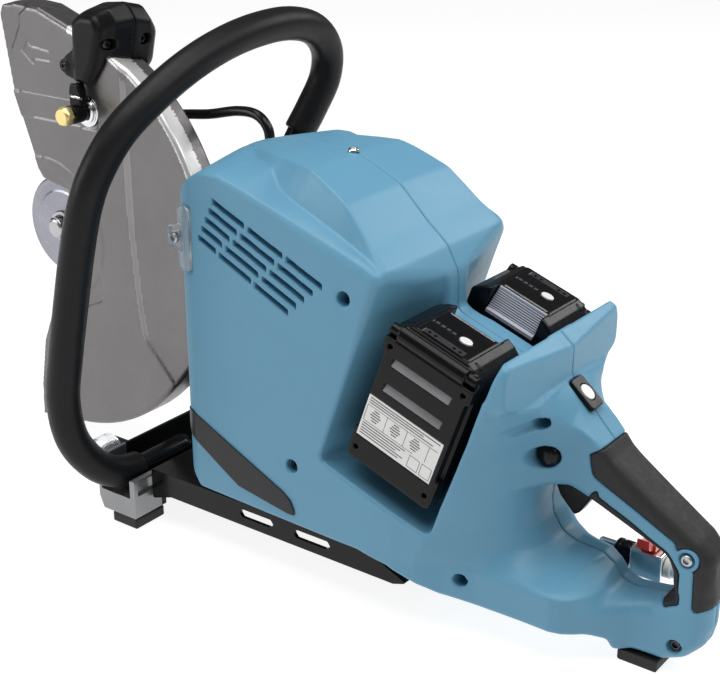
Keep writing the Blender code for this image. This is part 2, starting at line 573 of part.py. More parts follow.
grip_l = loft("guard_grip_left", [block_section(y) for y in (-15.5, -12, -4, 4, 12)], "black_plastic", False)
grip_r = loft("guard_grip_right", [block_section(y) for y in (12.3, 20, 27, 35, 38.5)], "black_plastic", False)
cut(grip_l, prism("cut_grip_lug", [(60, 374), (43, 363), (38.5, 357), (42, 351), (60, 346)], -13.0, -6.0, None), "UNION")
keep = prism("cut_grip_keepout", inset(OUTLINE, -0.5), GUARD_Y0 - 0.4, GUARD_Y1 + 0.4, None)
cut(grip_l, keep)
cut(grip_r, keep)
for k, (y, z) in enumerate(((-5.5, 379), (23, 381))):
    g = grip_l if k == 0 else grip_r
    xf = 92.0 if k == 0 else 103.3
    cut(g, lathe("cut_grip_screw_%d" % k, [(xf - 6.5, 4.7), (xf + 12, 4.7)], (0, y, z), "x", 12, None))
    lathe("grip_screw_%s" % ("left" if k == 0 else "right"), [(xf - 6.1, 4.1), (xf - 3.6, 4.1), (xf - 2.9, 3.4)],
          (0, y, z), "x", 10, "steel", origin=(xf - 5, y, z))

# water fitting under the block
elbow = prism("spray_elbow", [(51.5, 320), (64.5, 320), (64.5, 338), (62.5, 342.4), (53.5, 342.4), (51.5, 338)],
              -19.5, -9.9, "black_plastic", chamfer=2.0)
cut(elbow, lathe("cut_elbow_collar", [(-21.6, 7.6), (-9.9, 7.6)], (58, 0, 320), "y", 16, None), "UNION")
lathe("spray_clip", [(-9.6, 9.0), (-8.6, 11.0), (-7.4, 11.0), (-7.0, 9.8), (-6.4, 9.8), (-6.0, 12.4), (-4.5, 12.4)],
      (58, 0, 320), "y", 20, "chrome", origin=(58, -7, 320))
plug = lathe("brass_plug", [(-33.6, 5.8), (-32.6, 7.6), (-26.6, 7.6), (-26.6, 8.6), (-22.0, 8.6)], (58, 0, 320), "y", 6,
             "brass", origin=(58, -28, 320))

# ------------------------------------------------------------------ water line
HOSE_PTS = [(78, 31.6, 300), (82, 34.5, 303), (90, 41, 308), (106, 44.5, 314), (128, 45, 317.5), (152, 44.5, 321), (183, 43, 328),
            (205, 41, 328.5), (217.5, 40, 320), (220.2, 40, 306), (219.4, 40, 292)]
hose = sweep("water_hose", spline(HOSE_PTS, 3), 4.3, 10, "black_rubber")

# valve at the right of the lower handle bar
valve = box("valve_body", (563, 27, 39), (589, 46, 61), "chrome", chamfer=2.0)
lathe("valve_nut", [(549, 9.6), (562.6, 9.6)], (0, 36.5, 50), "x", 12, "black_plastic", origin=(556, 36.5, 50))
lathe("valve_pipe", [(534, 4.6), (548.7, 4.6)], (0, 39.5, 50), "x", 12, "chrome", origin=(540, 39.5, 50))
lathe("valve_nipple", [(589.4, 8.0), (594, 8.0), (595, 6.8), (602, 6.8), (604, 8.2), (612, 7.2)], (0, 36.5, 50), "x", 14,
      "white_plastic", origin=(600, 36.5, 50))
lever = prism("valve_lever", [(570, 61.4), (582, 61.4), (582, 66.0), (570, 66.0)], 30, 43, "red_plastic", chamfer=0.6,
              origin=(576, 36.5, 61.4))
cut(lever, box("cut_lever_blade", (572, 21.5, 63.5), (580, 37, 68.5), None), "UNION")

# ------------------------------------------------------------------ trigger, lock and light
trigger = prism("trigger", [(517, 124), (517, 114.5), (521.5, 105), (533, 93.5), (537, 96), (546.5, 110), (547, 130),
                            (530, 130)], -5.8, 5.8, "black_plastic", chamfer=1.2, origin=(520.5, 0, 124))
lathe("lock_button", [(-31.5, 6.0), (-30.2, 8.0), (-28.5, 8.6), (-22.8, 8.6)], LOCK, "y", 18, "black_plastic",
      origin=(LOCK[0], -25, LOCK[2]))
bez = light_box("light_bezel", 7.9, 12.5, -2.6, 2.4, "black_plastic", 0)
cut(bez, light_box("cut_bezel", 5.2, 6.4, -1.9, 20, None, 16))
light_box("light_button", 4.9, 6.1, -0.6, 2.9, "white_plastic", 16, origin=light_frame(0, 0, 0))

# ------------------------------------------------------------------ batteries
for tag, s in (("left", -1.0), ("right", 1.0)):
    ya, yb = sorted((s * BAT_Y_IN, s * BAT_Y_OUT))
    case = prism_fc("battery_%s_case" % tag,
                    [(BAT_F0 + 3, BAT_C0), (BAT_F1 - 3, BAT_C0), (BAT_F1, BAT_C0 + 4), (BAT_F1, BAT_C1 - 8),
                     (BAT_F1 - 10, BAT_C1 - 2), (BAT_F1 - 13, BAT_C1), (BAT_F0 + 13, BAT_C1),
                     (BAT_F0 + 10, BAT_C1 - 2), (BAT_F0, BAT_C1 - 8), (BAT_F0, BAT_C0 + 4)], ya, yb, "black_plastic",
                    chamfer=2.5)
    # latch recess at the inner top edge, terminal slot, indicator seat
    y0, y1 = sorted((s * (BAT_Y_IN - 4), s * (BAT_Y_IN + 13.3)))
    cut(case, prism_fc("cut_latch_" + tag, [(BAT_F0 + 16.6, BAT_C1 - 27.5), (BAT_F1 - 16.6, BAT_C1 - 27.5),
                                            (BAT_F1 - 16.6, BAT_C1 + 6), (BAT_F0 + 16.6, BAT_C1 + 6)], y0, y1, None))
    y0, y1 = sorted((s * (BAT_Y_IN + 0.6), s * (BAT_Y_IN + 13.0)))
    prism_fc("battery_%s_latch" % tag, [(BAT_F0 + 17, BAT_C1 - 22.5), (BAT_F1 - 17, BAT_C1 - 22.5),
                                        (BAT_F1 - 17, BAT_C1 - 3), (BAT_F1 - 19, BAT_C1 - 0.6),
                                        (BAT_F0 + 19, BAT_C1 - 0.6), (BAT_F0 + 17, BAT_C1 - 3)], y0, y1,
             "grey_plastic", chamfer=0.8)
    ic = fc(BAT_F1 - 22, s * (BAT_Y_IN + 22), BAT_C1)
    seat_ring = [[fc(BAT_F1 - 22 + 5.3 * math.cos(2 * math.pi * k / 12), s * (BAT_Y_IN + 22)
                  + 4.2 * math.sin(2 * math.pi * k / 12), c) for k in range(12)] for c in (BAT_C1 - 2.4, BAT_C1 + 4)]
    cut(case, loft("cut_indicator_" + tag, seat_ring, None, False))
    btn = [[fc(BAT_F1 - 22 + 4.9 * math.cos(2 * math.pi * k / 12), s * (BAT_Y_IN + 22)
            + 3.8 * math.sin(2 * math.pi * k / 12), c) for k in range(12)] for c in (BAT_C1 - 1.0, BAT_C1 + 0.6)]
    loft("battery_%s_button" % tag, btn, "white_plastic", True, origin=ic)
    y0, y1 = sorted((s * (WEB_Y + 0.3), s * (BAT_Y_IN - 0.5)))
    prism_fc("terminal_%s" % tag, [(BAT_F0 + 8, BAT_C0 + 6), (BAT_F1 - 8, BAT_C0 + 6), (BAT_F1 - 8, BAT_C1 - 40),
                                   (BAT_F0 + 8, BAT_C1 - 40)], y0, y1, "black_plastic")

# ------------------------------------------------------------------ joint frames
def group(name, point, members):
    e = bpy.data.objects.new(name, None)
    e.location = world(point)
    bpy.context.collection.objects.link(e)
    for m in members:
        o = bpy.data.objects[m]
        o.parent = e
        o.location = o.location - e.location


group("axis_guard", (SP_X, 14, SP_Z), ["guard_shell", "guard_hub_ring", "guard_grip_left", "guard_grip_right",
                                      "grip_screw_left", "grip_screw_right", "spray_elbow", "spray_clip", "brass_plug"])
group("axis_spindle", (SP_X, 40, SP_Z), ["spindle", "inner_flange", "outer_flange", "spindle_bolt", "spindle_pulley"])
group("axis_motor", (MOT_X, 0, MOT_Z), ["motor_rotor", "motor_fan", "motor_pulley"])
group("axis_trigger", (520.5, 0, 124), ["trigger"])
for tag, s in (("left", -1.0), ("right", 1.0)):
    group("rail_battery_" + tag, fc(BAT_F0, s * BAT_Y_IN, BAT_C0),
          ["battery_%s_case" % tag, "battery_%s_latch" % tag, "battery_%s_button" % tag])
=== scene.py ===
"""Looks for the cordless power cutter: smooth moulded shells, pressed guard, batteries, handle and fittings."""
import json
import math
import bpy
import bmesh
import numpy as np
from mathutils import Vector, Matrix


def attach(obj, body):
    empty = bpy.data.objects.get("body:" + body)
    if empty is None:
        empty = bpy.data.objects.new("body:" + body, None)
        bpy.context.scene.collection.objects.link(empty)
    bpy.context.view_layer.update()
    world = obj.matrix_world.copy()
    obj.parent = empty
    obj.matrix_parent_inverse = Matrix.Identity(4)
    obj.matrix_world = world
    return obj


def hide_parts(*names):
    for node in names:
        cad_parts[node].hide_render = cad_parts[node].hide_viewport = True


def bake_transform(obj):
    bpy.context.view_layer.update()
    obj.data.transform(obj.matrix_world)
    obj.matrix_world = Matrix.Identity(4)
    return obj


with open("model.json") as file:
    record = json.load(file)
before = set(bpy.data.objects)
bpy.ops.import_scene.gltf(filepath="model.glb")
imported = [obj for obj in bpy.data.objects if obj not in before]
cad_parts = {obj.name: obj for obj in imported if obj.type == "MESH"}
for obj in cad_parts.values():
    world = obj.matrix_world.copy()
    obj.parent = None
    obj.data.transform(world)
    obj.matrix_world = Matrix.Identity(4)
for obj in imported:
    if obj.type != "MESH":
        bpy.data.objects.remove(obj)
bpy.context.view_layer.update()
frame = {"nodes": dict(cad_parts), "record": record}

MM = 0.001
X_MID = 299.0
TILT = math.radians(19.5)
FX, FZ = math.cos(TILT), -math.sin(TILT)
UX, UZ = math.sin(TILT), math.cos(TILT)
SP_Z = 205.0
GUARD_R = 187.0


def W3(p):
    return Vector(((p[0] - X_MID) * MM, p[1] * MM, p[2] * MM))


def fc(f, y, c):
    return (f * FX + c * UX, y, f * FZ + c * UZ)


# ------------------------------------------------------------------ materials
MATS = {}


def material(name, rgb, rough, metal=0.0, tone=0.06, tone_scale=9.0, grain=0.0, grain_scale=900.0,
             rough_var=0.05, coat=0.0, spec=0.5, alpha=1.0, brushed=None, ao=0.0, dust=0.0, trans=0.0, ior=1.45,
             speckle=0.0, wear=0.0, wear_rgb=None):
    m = bpy.data.materials.new(name)
    m.use_nodes = True
    nt = m.node_tree
    b = nt.nodes["Principled BSDF"]
    b.inputs["Metallic"].default_value = metal
    b.inputs["Specular IOR Level"].default_value = spec
    b.inputs["IOR"].default_value = ior
    if coat:
        b.inputs["Coat Weight"].default_value = coat
        b.inputs["Coat Roughness"].default_value = 0.15
    if trans:
        b.inputs["Transmission Weight"].default_value = trans
    if alpha < 1:
        b.inputs["Alpha"].default_value = alpha
    tc = nt.nodes.new("ShaderNodeTexCoord")

    def noise(scale, detail=3.0, rough_=0.55, src=None, stretch=None):
        n = nt.nodes.new("ShaderNodeTexNoise")
        n.inputs["Scale"].default_value = scale
        n.inputs["Detail"].default_value = detail
        n.inputs["Roughness"].default_value = rough_
        if stretch:
            mp = nt.nodes.new("ShaderNodeMapping")
            mp.inputs["Scale"].default_value = stretch
            nt.links.new(tc.outputs["Object"], mp.inputs["Vector"])
            nt.links.new(mp.outputs["Vector"], n.inputs["Vector"])
        else:
            nt.links.new(src or tc.outputs["Object"], n.inputs["Vector"])
        return n

    n1 = noise(tone_scale, 4.0)
    ramp = nt.nodes.new("ShaderNodeValToRGB")
    ramp.color_ramp.elements[0].position = 0.25
    ramp.color_ramp.elements[1].position = 0.75
    lo = [max(0.0, c * (1 - tone)) for c in rgb]
    hi = [min(1.0, c * (1 + tone)) for c in rgb]
    ramp.color_ramp.elements[0].color = (*lo, 1)
    ramp.color_ramp.elements[1].color = (*hi, 1)
    nt.links.new(n1.outputs["Fac"], ramp.inputs["Fac"])
    colour = ramp.outputs["Color"]
    if speckle:
        n3 = noise(1400.0, 1.0)
        r3 = nt.nodes.new("ShaderNodeValToRGB")
        r3.color_ramp.elements[0].position = 0.35
        r3.color_ramp.elements[1].position = 0.65
        r3.color_ramp.elements[0].color = (1 - speckle, 1 - speckle, 1 - speckle, 1)
        r3.color_ramp.elements[1].color = (1 + speckle * 0.0, 1, 1, 1)
        nt.links.new(n3.outputs["Fac"], r3.inputs["Fac"])
        mx = nt.nodes.new("ShaderNodeMix")
        mx.data_type = "RGBA"
        mx.blend_type = "MULTIPLY"
        mx.inputs["Factor"].default_value = 1.0
        nt.links.new(colour, mx.inputs["A"])
        nt.links.new(r3.outputs["Color"], mx.inputs["B"])
        colour = mx.outputs["Result"]
    if wear:
        geo = nt.nodes.new("ShaderNodeNewGeometry")
        r4 = nt.nodes.new("ShaderNodeValToRGB")
        r4.color_ramp.elements[0].position = 0.52
        r4.color_ramp.elements[1].position = 0.60
        r4.color_ramp.elements[0].color = (0, 0, 0, 1)
        r4.color_ramp.elements[1].color = (wear, wear, wear, 1)
        nt.links.new(geo.outputs["Pointiness"], r4.inputs["Fac"])
        mx2 = nt.nodes.new("ShaderNodeMix")
        mx2.data_type = "RGBA"
        nt.links.new(r4.outputs["Color"], mx2.inputs["Factor"])
        nt.links.new(colour, mx2.inputs["A"])
        mx2.inputs["B"].default_value = (*(wear_rgb or [min(1, c * 1.5 + 0.03) for c in rgb]), 1)
        colour = mx2.outputs["Result"]
    nt.links.new(colour, b.inputs["Base Color"])
    n2 = noise(grain_scale * 0.12 if not brushed else 60.0, 3.0, 0.6, stretch=brushed)
    mr = nt.nodes.new("ShaderNodeMapRange")
    mr.inputs["From Min"].default_value = 0.3
    mr.inputs["From Max"].default_value = 0.7
    mr.inputs["To Min"].default_value = max(0.02, rough - rough_var)
    mr.inputs["To Max"].default_value = min(1.0, rough + rough_var)
    nt.links.new(n2.outputs["Fac"], mr.inputs["Value"])
    nt.links.new(mr.outputs["Result"], b.inputs["Roughness"])
    if grain:
        n4 = noise(grain_scale, 2.0, 0.5, stretch=brushed)
        bump = nt.nodes.new("ShaderNodeBump")
        bump.inputs["Strength"].default_value = grain
        bump.inputs["Distance"].default_value = 0.0004
        nt.links.new(n4.outputs["Fac"], bump.inputs["Height"])
        nt.links.new(bump.outputs["Normal"], b.inputs["Normal"])
    MATS[name] = m
    return m


material("teal", (0.104, 0.272, 0.398), 0.42, tone=0.035, grain=0.10, grain_scale=1500, rough_var=0.05, speckle=0.05,
         spec=0.42)
material("steel_guard", (0.175, 0.168, 0.168), 0.36, metal=0.88, tone=0.07, tone_scale=14, grain=0.05, grain_scale=1300,
         rough_var=0.07)
# lighter copy of the guard steel, a painted highlight for the pressed step faces turned rearward and outward
material("steel_step_painted_highlight", (0.27, 0.262, 0.262), 0.38, metal=0.85, tone=0.06, tone_scale=14, grain=0.05, grain_scale=1300)
# lighter copy of the guard steel, a painted highlight for the upper rolled edge
material("steel_rim_painted_highlight", (0.62, 0.61, 0.61), 0.40, metal=0.70, tone=0.06, tone_scale=14, grain=0.05, grain_scale=1300)
material("flange", (0.30, 0.30, 0.345), 0.30, metal=0.85, tone=0.10, tone_scale=30, grain=0.05, grain_scale=1700,
         rough_var=0.08)
material("black", (0.0040, 0.0040, 0.0046), 0.22, tone=0.20, tone_scale=30, grain=0.06, grain_scale=1700, rough_var=0.05,
         spec=0.22)
material("bracket_metal", (0.27, 0.275, 0.28), 0.36, metal=0.8, tone=0.08, tone_scale=40, grain=0.2, grain_scale=1100)
# painted highlight colour for the sheets on the battery grip pocket slopes
material("grip_slope_painted_highlight", (0.40, 0.40, 0.42), 0.20, metal=0.55, tone=0.12, tone_scale=60, grain=0.05, grain_scale=1500)
material("deck_trim", (0.045, 0.045, 0.052), 0.24, metal=0.3, tone=0.1, tone_scale=60, grain=0.08, grain_scale=1500)
material("black_satin", (0.0060, 0.0060, 0.0066), 0.34, tone=0.2, tone_scale=30, grain=0.12, grain_scale=1500,
         rough_var=0.07, spec=0.20)
material("rubber", (0.021, 0.020, 0.021), 0.52, tone=0.12, tone_scale=25, grain=0.30, grain_scale=1900, rough_var=0.08,
         spec=0.28)
material("sleeve", (0.0080, 0.0078, 0.0088), 0.40, tone=0.12, tone_scale=25, grain=0.22, grain_scale=1700, rough_var=0.07,
         spec=0.20)
material("hose", (0.005, 0.005, 0.0055), 0.26, tone=0.15, tone_scale=40, grain=0.08, grain_scale=900, spec=0.3)
material("paint_black", (0.0055, 0.0055, 0.006), 0.20, tone=0.2, tone_scale=30, grain=0.05, grain_scale=700,
         coat=0.05, spec=0.2)
material("chrome", (0.74, 0.74, 0.76), 0.10, metal=1.0, tone=0.03, grain=0.02, grain_scale=600, rough_var=0.03)
material("brass", (0.86, 0.70, 0.30), 0.30, metal=0.75, tone=0.06, tone_scale=90, grain=0.04, grain_scale=1500)
material("cast", (0.40, 0.41, 0.43), 0.48, metal=0.85, tone=0.08, tone_scale=40, grain=0.35, grain_scale=1100)
material("steel", (0.44, 0.44, 0.46), 0.30, metal=1.0, tone=0.08, tone_scale=60, grain=0.05, grain_scale=1500)
material("screw", (0.06, 0.06, 0.065), 0.28, metal=0.9, tone=0.1, tone_scale=60, grain=0.05, grain_scale=1500)
material("copper", (0.50, 0.24, 0.12), 0.40, metal=0.9, tone=0.15, tone_scale=80, grain=0.3, grain_scale=700)
material("red", (0.70, 0.055, 0.04), 0.32, tone=0.06, tone_scale=60, grain=0.08, grain_scale=1500)
material("white", (0.80, 0.80, 0.76), 0.38, tone=0.03, tone_scale=60, grain=0.08, grain_scale=1500)
material("grey_latch", (0.33, 0.345, 0.40), 0.36, tone=0.05, tone_scale=60, grain=0.10, grain_scale=1500)
material("grey_trim", (0.20, 0.205, 0.215), 0.35, metal=0.3, tone=0.08, tone_scale=60, grain=0.1, grain_scale=1500)
material("label", (0.66, 0.66, 0.65), 0.35, tone=0.03, tone_scale=60, grain=0.04, grain_scale=900)
material("label_dark", (0.012, 0.012, 0.014), 0.32, tone=0.1, tone_scale=60, grain=0.03, grain_scale=900, spec=0.35)
material("clear", (0.93, 0.95, 0.96), 0.10, tone=0.02, trans=0.9, ior=1.25, grain=0.02, grain_scale=500)
material("led", (0.05, 0.065, 0.08), 0.2, tone=0.1, tone_scale=60, grain=0.03, grain_scale=900)


# ------------------------------------------------------------------ mesh helpers
def mesh_from(name, co, faces, mat, body, replaces=(), smooth=True, mats=None):
    me = bpy.data.meshes.new(name)
    if isinstance(faces, np.ndarray):
        nv, nf, k = len(co), len(faces), faces.shape[1]
        me.vertices.add(nv)
        me.vertices.foreach_set("co", np.ascontiguousarray(co, np.float32).ravel())
        me.loops.add(nf * k)
        me.loops.foreach_set("vertex_index", np.ascontiguousarray(faces, np.int32).ravel())
        me.polygons.add(nf)
        me.polygons.foreach_set("loop_start", np.arange(0, nf * k, k, dtype=np.int32))
        me.update(calc_edges=True)
    else:
        me.from_pydata([tuple(c) for c in co], [], [tuple(f) for f in faces])
    me.materials.append(MATS[mat])
    me.polygons.foreach_set("use_smooth", [bool(smooth)] * len(me.polygons))
    me.validate()
    me.update()
    ob = bpy.data.objects.new(name, me)
    bpy.context.scene.collection.objects.link(ob)
    return place(ob, body, replaces)


def place(ob, body, replaces=()):
    if body:
        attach(ob, body)
    if replaces:
        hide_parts(*([replaces] if isinstance(replaces, str) else replaces))
    return ob


def bake(ob):
    """Applies an object's modifiers to a fresh mesh."""
    bpy.context.view_layer.update()
    dg = bpy.context.evaluated_depsgraph_get()
    me = bpy.data.meshes.new_from_object(ob.evaluated_get(dg))
    ob.modifiers.clear()
    ob.data = me
    return ob


def thin(ob, ratio):
    m = ob.modifiers.new("thin", "DECIMATE")
    m.ratio = ratio
    return bake(ob)


def rmax(a, b, r):
    """Intersection with a round edge of radius r."""
    return np.minimum(-r, np.maximum(a, b)) + np.hypot(np.maximum(r + a, 0), np.maximum(r + b, 0))


def rmin(a, b, r):
    return -rmax(-a, -b, r)


def poly_sd(P, A, B):
    """Signed distance to a closed polygon on a grid."""
    A, B = np.broadcast_arrays(A, B)
    d2 = np.full(A.shape, 1e9, np.float32)
    inside = np.zeros(A.shape, bool)
    n = len(P)
    for i in range(n):
        ax, az = P[i][0], P[i][1]
        bx, bz = P[(i + 1) % n][0], P[(i + 1) % n][1]
        ex, ez = bx - ax, bz - az
        L = ex * ex + ez * ez
        if L < 1e-9:
            continue
        wx, wz = A - ax, B - az
        t = np.clip((wx * ex + wz * ez) / L, 0, 1)
        d2 = np.minimum(d2, (wx - t * ex) ** 2 + (wz - t * ez) ** 2)
        c = (az > B) != (bz > B)
        if abs(ez) > 1e-9:
            inside ^= c & (A < ax + (B - az) * ex / ez)
    return np.where(inside, -1.0, 1.0) * np.sqrt(d2)


def rounded(P, r=2.0, n=5):
    """Polygon with round corners. A point may carry its own radius as a third number."""
    out = []
    m = len(P)
    for i in range(m):
        a, b, c = Vector(P[i - 1][:2]), Vector(P[i][:2]), Vector(P[(i + 1) % m][:2])
        rr = P[i][2] if len(P[i]) > 2 else r
        e1, e2 = (a - b), (c - b)
        l1, l2 = e1.length, e2.length
        if rr <= 0 or l1 < 1e-6 or l2 < 1e-6:
            out.append((b.x, b.y))
            continue
        e1.normalize()
        e2.normalize()
        ang = math.acos(max(-1, min(1, e1.dot(e2))))
        if ang > math.pi - 0.05:
            out.append((b.x, b.y))
            continue
        t = min(rr / math.tan(ang / 2), 0.48 * l1, 0.48 * l2)
        p0, p2 = b + e1 * t, b + e2 * t
        for k in range(n + 1):
            s = k / n
            q = p0 * (1 - s) ** 2 + b * 2 * s * (1 - s) + p2 * s * s
            out.append((q.x, q.y))
    return out


def nets(f, x0, y0, z0, hx, hy, hz):
    """Quad surface of the zero level of a field on a grid, facing out of the negative side."""
    nx, ny, nz = f.shape
    s = f < 0
    c = np.zeros((nx - 1, ny - 1, nz - 1), np.uint8)
    for i in (0, 1):
        for j in (0, 1):
            for k in (0, 1):
                c += s[i:nx - 1 + i, j:ny - 1 + j, k:nz - 1 + k]
    I, J, K = np.nonzero((c > 0) & (c < 8))
    idx = np.full(c.shape, -1, np.int32)
    idx[I, J, K] = np.arange(len(I), dtype=np.int32)
    P = np.zeros((len(I), 3))
    cnt = np.zeros(len(I))
    val = {}
    for i in (0, 1):
        for j in (0, 1):
            for k in (0, 1):
                val[(i, j, k)] = f[I + i, J + j, K + k].astype(np.float64)
    for a, fa in val.items():
        for ax in range(3):
            if a[ax]:
                continue
            bb = list(a)
            bb[ax] = 1
            fb = val[tuple(bb)]
            m = (fa < 0) != (fb < 0)
            t = np.where(m, fa / np.where(m, fa - fb, 1), 0)
            q = np.array(a, float)[None, :].repeat(len(I), 0)
            q[:, ax] += t
            P[m] += q[m]
            cnt[m] += 1
    P /= cnt[:, None]
    co = np.stack([x0 + hx * (I + P[:, 0]), y0 + hy * (J + P[:, 1]), z0 + hz * (K + P[:, 2])], -1)
    quads = []
    a = s[:-1, 1:-1, 1:-1]
    b = s[1:, 1:-1, 1:-1]
    i, j, k = np.nonzero(a != b)
    fl = a[i, j, k]
    j += 1
    k += 1
    q = np.stack([idx[i, j - 1, k - 1], idx[i, j, k - 1], idx[i, j, k], idx[i, j - 1, k]], -1)
    q[~fl] = q[~fl][:, ::-1]
    quads.append(q)
    a = s[1:-1, :-1, 1:-1]
    b = s[1:-1, 1:, 1:-1]
    i, j, k = np.nonzero(a != b)
    fl = a[i, j, k]
    i += 1
    k += 1
    q = np.stack([idx[i - 1, j, k - 1], idx[i - 1, j, k], idx[i, j, k], idx[i, j, k - 1]], -1)
    q[~fl] = q[~fl][:, ::-1]
    quads.append(q)
    a = s[1:-1, 1:-1, :-1]
    b = s[1:-1, 1:-1, 1:]
    i, j, k = np.nonzero(a != b)
    fl = a[i, j, k]
    i += 1
    j += 1
    q = np.stack([idx[i - 1, j - 1, k], idx[i, j - 1, k], idx[i, j, k], idx[i - 1, j, k]], -1)
    q[~fl] = q[~fl][:, ::-1]
    quads.append(q)
    return co, np.concatenate(quads)


def to_world(co):
    return (np.asarray(co) - np.array([X_MID, 0, 0])) * MM


class Grid:
    def __init__(self, lo, hi, h):
        h = (h, h, h) if isinstance(h, (int, float)) else h
        self.h = h
        self.lo = lo
        ax = [np.arange(lo[i], hi[i] + h[i], h[i]).astype(np.float32) for i in range(3)]
        self.ax = ax
        self.X, self.Y, self.Z = ax[0][:, None, None], ax[1][None, :, None], ax[2][None, None, :]

    def build(self, name, f, mat, body, slot=None, replaces=(), ratio=None, mapping=None, flip=False, relax=0):
        if isinstance(f, np.ndarray) and f.shape != tuple(len(a) for a in self.ax):
            f = np.broadcast_to(f, tuple(len(a) for a in self.ax)).copy()
        f = f.astype(np.float32)
        for side in (0, -1):
            for axis in range(3):
                sl = [slice(None)] * 3
                sl[axis] = side
                f[tuple(sl)] = np.maximum(f[tuple(sl)], 0.01)
        co, quads = nets(f, *self.lo, *self.h)
        if relax:
            co = smooth_mesh(co, quads, relax)
        if mapping:
            co = mapping(co)
        if flip:
            quads = quads[:, ::-1]
        ob = mesh_from(name, to_world(co), quads, mat, None)
        if ratio:
            thin(ob, ratio)
            ob.data.polygons.foreach_set("use_smooth", [True] * len(ob.data.polygons))
        return place(ob, body, replaces)


def smooth_mesh(co, quads, n):
    for _ in range(n):
        acc = np.zeros_like(co)
        cnt = np.zeros(len(co))
        for a in range(4):
            b = (a + 1) % 4
            for u, v in ((a, b), (b, a)):
                np.add.at(acc, quads[:, u], co[quads[:, v]])
                np.add.at(cnt, quads[:, u], 1)
        co = 0.5 * co + 0.5 * acc / cnt[:, None]
    return co


def bm_object(name, bm, mat, body, replaces=(), smooth=True):
    bmesh.ops.recalc_face_normals(bm, faces=bm.faces[:])
    if bm.calc_volume(signed=True) < 0:
        bmesh.ops.reverse_faces(bm, faces=bm.faces[:])
    me = bpy.data.meshes.new(name)
    bm.to_mesh(me)
    bm.free()
    me.materials.append(MATS[mat])
    for p in me.polygons:
        p.use_smooth = smooth
    ob = bpy.data.objects.new(name, me)
    bpy.context.scene.collection.objects.link(ob)
    return place(ob, body, replaces)


def loft(name, rings, mat, body, replaces=(), closed=False, smooth=True, bevel=0.0, sharp=None):
    bm = bmesh.new()
    vr = [[bm.verts.new(W3(p)) for p in r] for r in rings]
    n = len(rings[0])
    for a, b in list(zip(vr, vr[1:])) + ([(vr[-1], vr[0])] if closed else []):
        for i in range(n):
            j = (i + 1) % n
            bm.faces.new((a[i], a[j], b[j], b[i]))
    if not closed:
        bm.faces.new(vr[0][::-1])
        bm.faces.new(vr[-1])
    ob = bm_object(name, bm, mat, None, smooth=smooth)
    if bevel:
        bevelled(ob, bevel)
    return place(ob, body, replaces)


def bevelled(ob, width, segs=3, angle=32.0):
    m = ob.modifiers.new("edge", "BEVEL")
    m.width = width * MM
    m.segments = segs
    m.limit_method = "ANGLE"
    m.angle_limit = math.radians(angle)
    m.harden_normals = False
    m.use_clamp_overlap = True
    bake(ob)
    w = ob.modifiers.new("wn", "WEIGHTED_NORMAL")
    w.keep_sharp = True
    for p in ob.data.polygons:
        p.use_smooth = True
    return bake(ob)


def prism(name, poly, y0, y1, mat, body, replaces=(), bevel=0.8, cuts=(), adds=()):
    rings = [[(x, y0, z) for x, z in poly], [(x, y1, z) for x, z in poly]]
    ob = loft(name, rings, mat, None, smooth=False)
    for c in adds:
        boolean(ob, c, "UNION")
    for c in cuts:
        boolean(ob, c)
    if bevel:
        bevelled(ob, bevel)
    return place(ob, body, replaces)


def boolean(ob, tool, op="DIFFERENCE"):
    m = ob.modifiers.new("b", "BOOLEAN")
    m.operation = op
    m.solver = "EXACT"
    m.object = tool
    bake(ob)
    bpy.data.objects.remove(tool, do_unlink=True)
    return ob


def boxed(name, lo, hi, mat, body=None, replaces=(), bevel=0.8, cuts=()):
    return prism(name, [(lo[0], lo[2]), (hi[0], lo[2]), (hi[0], hi[2]), (lo[0], hi[2])], lo[1], hi[1], mat, body,
                 replaces, bevel, cuts)


def lathe(name, prof, centre, axis, mat, body=None, replaces=(), segs=64, r=0.5, frame_=None):
    """Solid or ring of revolution with softened profile corners; frame_ maps (axial, a, b) to a point."""
    ring_like = tuple(prof[0]) == tuple(prof[-1])
    P = [tuple(q) for q in (prof[:-1] if ring_like else prof)]
    if r > 0:
        if ring_like:
            P = rounded(P, r, 3)
        else:
            full = rounded([(P[0][0], 0.0, 0.0)] + P + [(P[-1][0], 0.0, 0.0)], r, 3)
            P = [q for q in full if q[1] > 1e-6]
    bm = bmesh.new()
    ax = {"x": 0, "y": 1, "z": 2}[axis]
    o1, o2 = [(1, 2), (2, 0), (0, 1)][ax]
    rows = []
    for d, rad in P:
        row = []
        for k in range(segs):
            t = 2 * math.pi * (k + 0.5) / segs
            p = [0.0, 0.0, 0.0]
            p[ax] = centre[ax] + d
            p[o1] = centre[o1] + rad * math.cos(t)
            p[o2] = centre[o2] + rad * math.sin(t)
            if frame_:
                p = frame_(d, rad * math.cos(t), rad * math.sin(t))
            row.append(bm.verts.new(W3(p)))
        rows.append(row)
    for a, b in list(zip(rows, rows[1:])) + ([(rows[-1], rows[0])] if ring_like else []):
        for k in range(segs):
            j = (k + 1) % segs
            bm.faces.new((a[k], a[j], b[j], b[k]))
    if not ring_like:
        bm.faces.new(rows[0][::-1])
        bm.faces.new(rows[-1])
    return bm_object(name, bm, mat, body, replaces)


def spline(pts, n):
    p = [np.array(q, float) for q in pts]
    p = [2 * p[0] - p[1]] + p + [2 * p[-1] - p[-2]]
    out = []
    for i in range(1, len(p) - 2):
        for k in range(n):
            t = k / n
            a, b, c, d = p[i - 1], p[i], p[i + 1], p[i + 2]
            out.append(0.5 * ((2 * b) + (c - a) * t + (2 * a - 5 * b + 4 * c - d) * t * t
                              + (3 * b - 3 * c + d - a) * t ** 3))
    out.append(p[-2])
    return out


